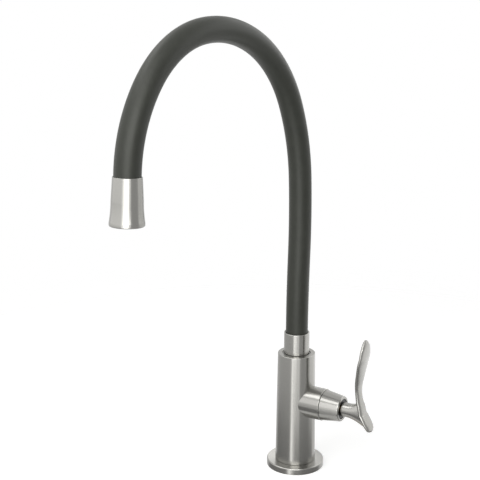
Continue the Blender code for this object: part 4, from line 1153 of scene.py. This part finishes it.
class FAUCET_OT_hose(bpy.types.Operator):
    """Lay the hose's three layers in curved pieces, one round each joint"""
    bl_idname = "faucet.hose"
    bl_label = "Flexible hose"

    def execute(self, context):
        sizes, finish = settings(context)
        line = hose_line(sizes)
        section = line[1]
        bore = sizes.hose_radius - sizes.sleeve_wall
        crest = bore - SWIVEL_CLEARANCE
        silicone = extruded_silicone("silicone_extruded", finish, sizes.hose_radius)
        strip = wound_strip("stainless_strip_wound", finish, crest)
        tube = moulded("epdm_rubber_extruded", finish)
        joints = len(SECTION_BENDS) - 1
        for number in range(1, joints + 1):
            start = -HOSE_IN_COLLAR if number == 1 else (number - 0.5) * section
            end = (sizes.hose_length + HOSE_IN_FERRULE if number == joints
                   else (number + 0.5) * section)
            runs = hose_runs(start, end, RING_STEP)
            bent("hose_sleeve", number, [(sizes.hose_radius, run) for run in reversed(runs)]
                 + [(bore, run) for run in runs], HOSE_SIDES, silicone, line)
            ribs = [(crest - STRIP_WAVE * (1 - math.cos(math.tau * run / sizes.rib_pitch)), run)
                    for run in reversed(hose_runs(start, end, sizes.rib_pitch / STEPS_PER_RIB))]
            bent("gooseneck", number, ribs + [(crest - STRIP_THICKNESS, run) for run in runs],
                 CORE_SIDES, strip, line)
            bent("water_tube", number, [(TUBE_RADIUS, run) for run in reversed(runs)]
                 + [(TUBE_BORE, run) for run in runs], CORE_SIDES, tube, line)
        return {"FINISHED"}


class FAUCET_OT_outlet(bpy.types.Operator):
    """Turn the outlet ferrule and the aerator inside it"""
    bl_idname = "faucet.outlet"
    bl_label = "Outlet"

    def execute(self, context):
        sizes, finish = settings(context)
        place = hose_line(sizes)[0](sizes.hose_length)
        self.ferrule(sizes, finish, place)
        self.aerator(sizes, finish, place)
        dress(machined_brass("brass_machined_outlet", finish, place), "outlet_connector")
        dress(moulded("nitrile_rubber_moulded", finish), "aerator_washer")
        return {"FINISHED"}

    def ferrule(self, sizes, finish, place):
        """The slim bell: its side widens from the waist to the mouth along a parabola."""
        end = sizes.ferrule_length
        bore = sizes.hose_radius + CLEARANCE
        widening = sizes.ferrule_radius - FERRULE_WAIST_RADIUS
        corners = [(POCKET_RADIUS, end, MOUTH_LIP), (sizes.ferrule_radius, end, MOUTH_EDGE)]
        for k in range(BELL_STEPS + 1):
            share = k / BELL_STEPS
            corners.append((FERRULE_WAIST_RADIUS + widening * (1 - share) ** 2,
                            end * (BELL_END - share * (BELL_END - BELL_START))))
        corners += [(FERRULE_TOP_RADIUS, 0, BROKEN_EDGE), (bore, 0, THIN_EDGE),
                    (bore, FERRULE_STEP), (POCKET_RADIUS, FERRULE_STEP)]
        lathe("outlet_ferrule_turned", "outlet_ferrule", corners, steel_round(finish), place)

    def aerator(self, sizes, finish, place):
        """The housing, with four notches for its key, and the insert with its holes."""
        mouth = sizes.ferrule_length - AERATOR_SET_BACK
        inner = AERATOR_RADIUS - AERATOR_WALL
        lip = inner - AERATOR_LIP
        notches = [tool(block(f"key_notch_{k}", KEY_NOTCH, (lip + KEY_NOTCH_SINK, 0, mouth)),
                        place @ Matrix.Rotation(math.tau * k / KEY_NOTCHES, 4, "Z"))
                   for k in range(KEY_NOTCHES)]
        lathe("aerator_housing_turned", "aerator_housing",
              [(lip, mouth, THIN_EDGE), (AERATOR_RADIUS, mouth, AERATOR_EDGE),
               (AERATOR_RADIUS, AERATOR_START), (inner, AERATOR_START),
               (inner, mouth - AERATOR_LIP), (lip, mouth - AERATOR_LIP)], steel_round(finish),
              place, cut=notches)
        high = mouth - AERATOR_LIP - CLEARANCE
        edge = inner - CLEARANCE
        outlines = [ring_of(edge, SMALL_SIDES)]
        reach = int(AERATOR_RADIUS // INSERT_PITCH) + 1
        for row in range(-reach, reach + 1):
            for column in range(-2 * reach, 2 * reach + 1):
                x = INSERT_PITCH * (column + (row % 2) / 2)
                y = INSERT_PITCH * row * math.sqrt(3) / 2
                if math.hypot(x, y) + INSERT_RIM < edge:
                    outlines.append(ring_of(INSERT_HOLE_RADIUS, 6, (x, y), math.pi / 6))
        mesh = plate("aerator_insert_moulded", outlines, high - INSERT_THICKNESS, high)
        shaped(piece("aerator_insert_moulded", mesh,
                     moulded("acetal_black_moulded", finish), "aerator_insert", place))


# Studio

def around(azimuth, distance, height):
    """A point round the faucet: azimuth 0 is straight in front, at -Y, and 90 at +X."""
    a = math.radians(azimuth)
    return Vector((distance * math.sin(a), -distance * math.cos(a), height))


def seen_directly(tree):
    """1 for what the camera sees itself, in gloss or through glass, and 0 for other light."""
    rays = add(tree, "LightPath")
    seen = add(tree, "Math", {0: rays.outputs["Is Camera Ray"],
                              1: rays.outputs["Is Glossy Ray"]}, operation="MAXIMUM")
    return add(tree, "Math", {0: seen, 1: rays.outputs["Is Transmission Ray"]},
               operation="MAXIMUM")


def reflection_card(name, azimuths, heights, radiance, distance, centre=PILLAR):
    """A curved card with soft edges that only gloss sees."""
    first, last = azimuths
    rows = [[Vector((*centre, 0.0)) + around(first + (last - first) * k / CARD_STEPS, distance, z)
             for k in range(CARD_STEPS + 1)] for z in heights]
    card = shown(name, meshed(name, joined_rows(rows, (0, 1), wrapped=False)))
    glow = bpy.data.materials.new(name)
    tree = bare_tree(glow)
    offset = add(tree, "VectorMath", {0: add(tree, "UVMap", uv_map="UVMap"),
                                      1: (0.5, 0.5, 0.0)}, operation="SUBTRACT")
    parts = add(tree, "SeparateXYZ", {0: add(tree, "VectorMath", {0: offset},
                                             operation="ABSOLUTE")})
    edge = add(tree, "Math", {0: parts, 1: parts.outputs[1]}, operation="MAXIMUM")
    fade = add(tree, "MapRange", {0: edge, 1: CARD_FADE[0], 2: CARD_FADE[1], 3: 1.0,
                                 4: 0.0},
               interpolation_type="SMOOTHSTEP")
    light = add(tree, "Emission", {0: WHITE, 1: radiance})
    add(tree, "OutputMaterial", {0: add(tree, "MixShader", {
        0: fade, 1: add(tree, "BsdfTransparent"), 2: light})})
    card.data.materials.append(glow)
    card.visible_camera = False
    card.visible_diffuse = False
    card.visible_shadow = False
    card.visible_transmission = False


def softbox(name, azimuth, distance, height, width, tall, watts):
    """A large soft lamp that gloss doesn't see, because the cards stand in for it there."""
    lamp = bpy.data.lights.new(name, "AREA")
    lamp.shape = "RECTANGLE"
    lamp.size = width
    lamp.size_y = tall
    lamp.energy = watts
    place = around(azimuth, distance, height)
    made = shown(name, lamp)
    made.matrix_world = Matrix.Translation(place) @ (
        place - LAMP_AIM).to_track_quat("Z", "Y").to_matrix().to_4x4()
    made.visible_glossy = False


class FAUCET_OT_studio(bpy.types.Operator):
    """Set up the floor, the soft lamps, the surrounding light and the camera"""
    bl_idname = "faucet.studio"
    bl_label = "Studio"

    def execute(self, context):
        studio = context.scene.faucet_studio
        self.floor(studio)
        self.world(context.scene, studio)
        for name, (*box, power) in LAMPS.items():
            softbox(name, *box, getattr(studio, power))
        for name, card in CARDS.items():
            reflection_card(name, *card)
        self.camera(context.scene, studio)
        context.scene.view_settings.view_transform = "Standard"
        return {"FINISHED"}

    def floor(self, studio):
        """A plain floor in matt white paint.

        Its rim fades out, and its underside is clear, so that a low camera sees the clamp.
        """
        mesh = bpy.data.meshes.new("studio_floor")
        shape = bmesh.new()
        bmesh.ops.create_circle(shape, cap_ends=True, segments=FLOOR_SIDES,
                                radius=FLOOR_RADIUS)
        shape.to_mesh(mesh)
        shape.free()
        floor = shown("studio_floor", mesh)
        paint = bpy.data.materials.new("floor_matt_paint")
        tree = bare_tree(paint)
        spot = add(tree, "TexCoord").outputs["Object"]
        grain = grains(tree, spot, 0.004, 0.004)
        matt = add(tree, "BsdfDiffuse", {0: shades(tree, grain, studio.floor, 0.995, 1.0)})
        lift = add(tree, "Math", {0: seen_directly(tree), 1: FLOOR_LIFT}, operation="MULTIPLY")
        both = add(tree, "AddShader", {0: matt, 1: add(tree, "Emission", {0: WHITE, 1: lift})})
        reach = add(tree, "VectorMath", {0: spot}, operation="LENGTH").outputs["Value"]
        rim = add(tree, "MapRange", {0: reach, 1: FLOOR_FADE[0], 2: FLOOR_FADE[1]},
                  interpolation_type="SMOOTHSTEP")
        gone = add(tree, "Math", {0: add(tree, "NewGeometry").outputs["Backfacing"], 1: rim},
                   operation="MAXIMUM")
        add(tree, "OutputMaterial", {0: add(tree, "MixShader", {
            0: gone, 1: both, 2: add(tree, "BsdfTransparent")})})
        mesh.materials.append(paint)
        floor.visible_glossy = False

    def world(self, scene, studio):
        """White where it is seen directly, and a plain level elsewhere."""
        scene.world = bpy.data.worlds.new("studio_world")
        tree = bare_tree(scene.world)
        level = add(tree, "MapRange", {0: seen_directly(tree), 3: studio.sky, 4: 1.0})
        add(tree, "OutputWorld", {0: add(tree, "Background", {0: WHITE, 1: level})})

    def camera(self, scene, studio):
        lens = bpy.data.cameras.new("photo_camera")
        lens.lens = studio.lens
        lens.sensor_width = 36.0
        lens.clip_start = 0.01
        scene.camera = shown("photo_camera", lens)
        scene.camera.location = CAMERA_PLACE
        scene.camera.rotation_euler = (math.pi / 2 - CAMERA_DOWN, 0.0, CAMERA_ROUND)


class FAUCET_PT_panel(bpy.types.Panel):
    """Faucet pieces in the sidebar"""
    bl_label = "Flexible kitchen faucet"
    bl_idname = "FAUCET_PT_panel"
    bl_space_type = "VIEW_3D"
    bl_region_type = "UI"
    bl_category = "Faucet"

    def draw(self, context):
        for group in (*settings(context), context.scene.faucet_studio):
            box = self.layout.box()
            for name in group.__annotations__:
                box.prop(group, name)
        for operator in OPERATORS:
            self.layout.operator(operator.bl_idname)


OPERATORS = (FAUCET_OT_flange, FAUCET_OT_clamp, FAUCET_OT_body, FAUCET_OT_bonnet,
             FAUCET_OT_valve, FAUCET_OT_lever, FAUCET_OT_swivel, FAUCET_OT_hose,
             FAUCET_OT_outlet, FAUCET_OT_studio)
CLASSES = (FaucetSizes, FaucetFinish, FaucetStudio) + OPERATORS + (FAUCET_PT_panel,)


def register():
    for item in CLASSES:
        bpy.utils.register_class(item)
    bpy.types.Scene.faucet_sizes = bpy.props.PointerProperty(type=FaucetSizes)
    bpy.types.Scene.faucet_finish = bpy.props.PointerProperty(type=FaucetFinish)
    bpy.types.Scene.faucet_studio = bpy.props.PointerProperty(type=FaucetStudio)


def unregister():
    del bpy.types.Scene.faucet_sizes
    del bpy.types.Scene.faucet_finish
    del bpy.types.Scene.faucet_studio
    for item in reversed(CLASSES):
        bpy.utils.unregister_class(item)


def main():
    register()
    bpy.ops.faucet.flange()
    bpy.ops.faucet.clamp()
    bpy.ops.faucet.body()
    bpy.ops.faucet.bonnet()
    bpy.ops.faucet.valve()
    bpy.ops.faucet.lever()
    bpy.ops.faucet.swivel()
    bpy.ops.faucet.hose()
    bpy.ops.faucet.outlet()
    bpy.ops.faucet.studio()


if __name__ == "__main__":
    main()
